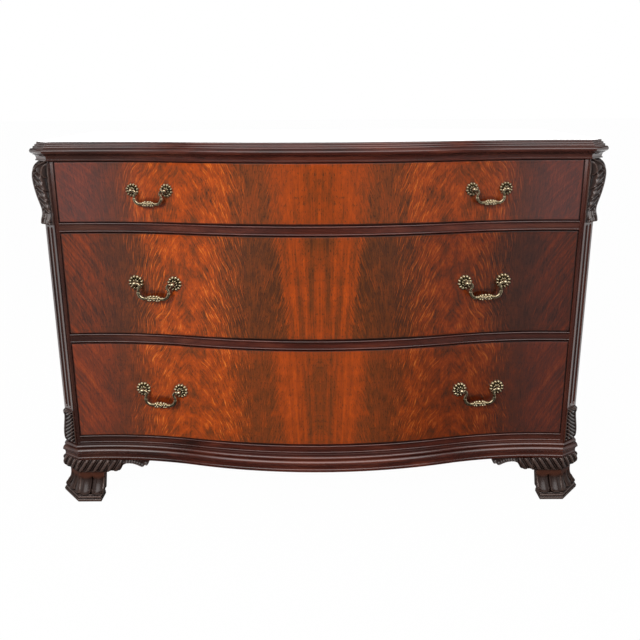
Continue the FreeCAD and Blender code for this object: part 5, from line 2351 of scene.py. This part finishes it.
@dataclass(frozen=True)
class Stage:
    """Floor, light and camera."""

    view: CameraSizes = CameraSizes()
    floor_width: float = 60.0

    def build(self) -> None:
        """Set the stage."""
        self.floor()
        self.world()
        self.lamp("key_lamp", (-1.2, -3.0, 2.1), (0.0, 0.0, 0.45), 1.0, 120)
        self.lamp("fill_lamp", (2.4, -2.8, 1.2), (0.0, 0.0, 0.45), 2.0, 22)
        self.lamp("top_lamp", (0.0, 0.1, 3.2), (0.0, 0.0, 0.5), 2.6, 10)
        self.camera()
        bpy.context.scene.view_settings.view_transform = "Standard"

    def floor(self) -> None:
        """Lay a pale floor that keeps the shadow of the chest."""
        bpy.ops.object.select_all(action="DESELECT")
        bpy.ops.mesh.primitive_plane_add(size=self.floor_width)
        floor = bpy.context.object
        floor.name = "pale_floor"
        shader = Shader.new("pale_floor")
        x, y, _ = shader.place()
        plain = shader.node("ShaderNodeBsdfDiffuse", {}, {"Color": (0.72, 0.72, 0.72, 1.0)})
        glows = [shader.node("ShaderNodeEmission", {}, {"Color": WHITE, "Strength": strength})
                 for strength in (0.03, 0.30, 1.1, 1.0)]
        plain, dim, haze, light, white = (Value(shader, made.outputs[0]) for made in (plain, *glows))
        mirrored = shader.mixed(abs(x).rise(300.0, 1500.0), dim, haze)
        mirrored = shader.mixed((abs(x) + y * 1.2).rise(500.0, 1100.0), mirrored, light)
        mirrored = shader.mixed(shader.ray("Is Glossy Ray"), plain, mirrored)
        seen = shader.mixed(shader.ray("Is Camera Ray") * 0.985, mirrored, white)
        shader.node("ShaderNodeOutputMaterial", {}, {0: seen})
        floor.data.materials.append(shader.holder)

    def world(self) -> None:
        """Surround the chest with soft light that looks white to the camera.

        What the polish mirrors is dim in front, apart from a high window, and bright at the sides and
        low down behind.
        """
        world = bpy.data.worlds.new("studio")
        bpy.context.scene.world = world
        shader = Shader(world)
        lights = [shader.node("ShaderNodeBackground", {}, {"Color": WHITE, "Strength": strength})
                  for strength in (0.42, 0.04, 0.5, 1.0, 2.6, 5.0, 1.0)]
        glows = [Value(shader, made.outputs[0]) for made in lights]
        soft, dim, overhead, beside, behind, window, white = glows
        direction = shader.node("ShaderNodeTexCoord", {}, {}).outputs["Generated"]
        parts = shader.node("ShaderNodeSeparateXYZ", {}, {0: Value(shader, direction)})
        across, back, up = (Value(shader, output) for output in parts.outputs)
        mirrored = shader.mixed((up + back.rise(0.0, 1.0) * 0.6).rise(0.75, 0.98), dim, overhead)
        mirrored = shader.mixed(abs(across).rise(0.75, 0.95), mirrored, beside)
        opening = up.rise(0.20, 0.36) * (1.0 - up.rise(0.76, 0.90)) * (0.0 - back).rise(0.2, 0.45)
        opening = opening * (1.0 - abs(across).rise(0.42, 0.62))
        mirrored = shader.mixed(opening, mirrored, window)
        low = 1.0 - up.rise(0.13, 0.18)
        mirrored = shader.mixed(back.rise(0.6, 0.9) * low, mirrored, behind)
        hidden = shader.mixed(shader.ray("Is Glossy Ray"), soft, mirrored)
        seen = shader.mixed(shader.ray("Is Camera Ray"), hidden, white)
        shader.node("ShaderNodeOutputWorld", {}, {0: seen})

    def lamp(self, name: str, place: Point, target: Point, size: float, power: float) -> None:
        """Add a soft lamp that the polish does not mirror.

        Args:
            name: Its name.
            place: Where it stands.
            target: Where it points.
            size: Its width in metres.
            power: Its power in watts.
        """
        light = bpy.data.lights.new(name, "AREA")
        light.shape = "DISK"
        light.size = size
        light.energy = power
        lamp = bpy.data.objects.new(name, light)
        lamp.visible_glossy = False
        bpy.context.scene.collection.objects.link(lamp)
        lamp.location = place
        lamp.rotation_euler = (Vector(target) - Vector(place)).to_track_quat("-Z", "Y").to_euler()

    def camera(self) -> None:
        """Set the camera where the photograph was taken from."""
        size = self.view
        pitch, yaw, roll = (math.radians(angle) for angle in (size.pitch, size.yaw, size.roll))
        level = math.cos(pitch)
        forward = Vector((math.sin(yaw) * level, math.cos(yaw) * level, -math.sin(pitch)))
        right = Vector((math.cos(yaw), -math.sin(yaw), 0))
        up = right.cross(forward)
        rolled_right = right * math.cos(roll) + up * math.sin(roll)
        rolled_up = up * math.cos(roll) - right * math.sin(roll)
        lens = bpy.data.cameras.new("photo_camera")
        lens.sensor_fit = "HORIZONTAL"
        lens.sensor_width = size.sensor
        lens.lens = size.lens
        lens.clip_end = 100.0
        lens.dof.use_dof = False
        camera = bpy.data.objects.new("photo_camera", lens)
        bpy.context.scene.collection.objects.link(camera)
        turned = Matrix((rolled_right, rolled_up, -forward)).transposed().to_4x4()
        camera.matrix_world = Matrix.Translation(size.place) @ turned
        bpy.context.scene.camera = camera


def write_size() -> None:
    """Bring the view layer up to date."""
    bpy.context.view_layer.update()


def main() -> None:
    """Dress the chest, report each piece and set the stage."""
    palette = Palette()
    palette.dress_construction()
    assemblies = (Top(palette), FrontFrame(palette), Carving(palette), Feet(palette), Drawers(),
                  Handles(palette))
    for assembly in assemblies:
        for piece in assembly.build():
            log.info("%s: %d faces", piece.name, len(piece.data.polygons))
    write_size()
    Stage().build()


if __name__ == "__main__":
    main()
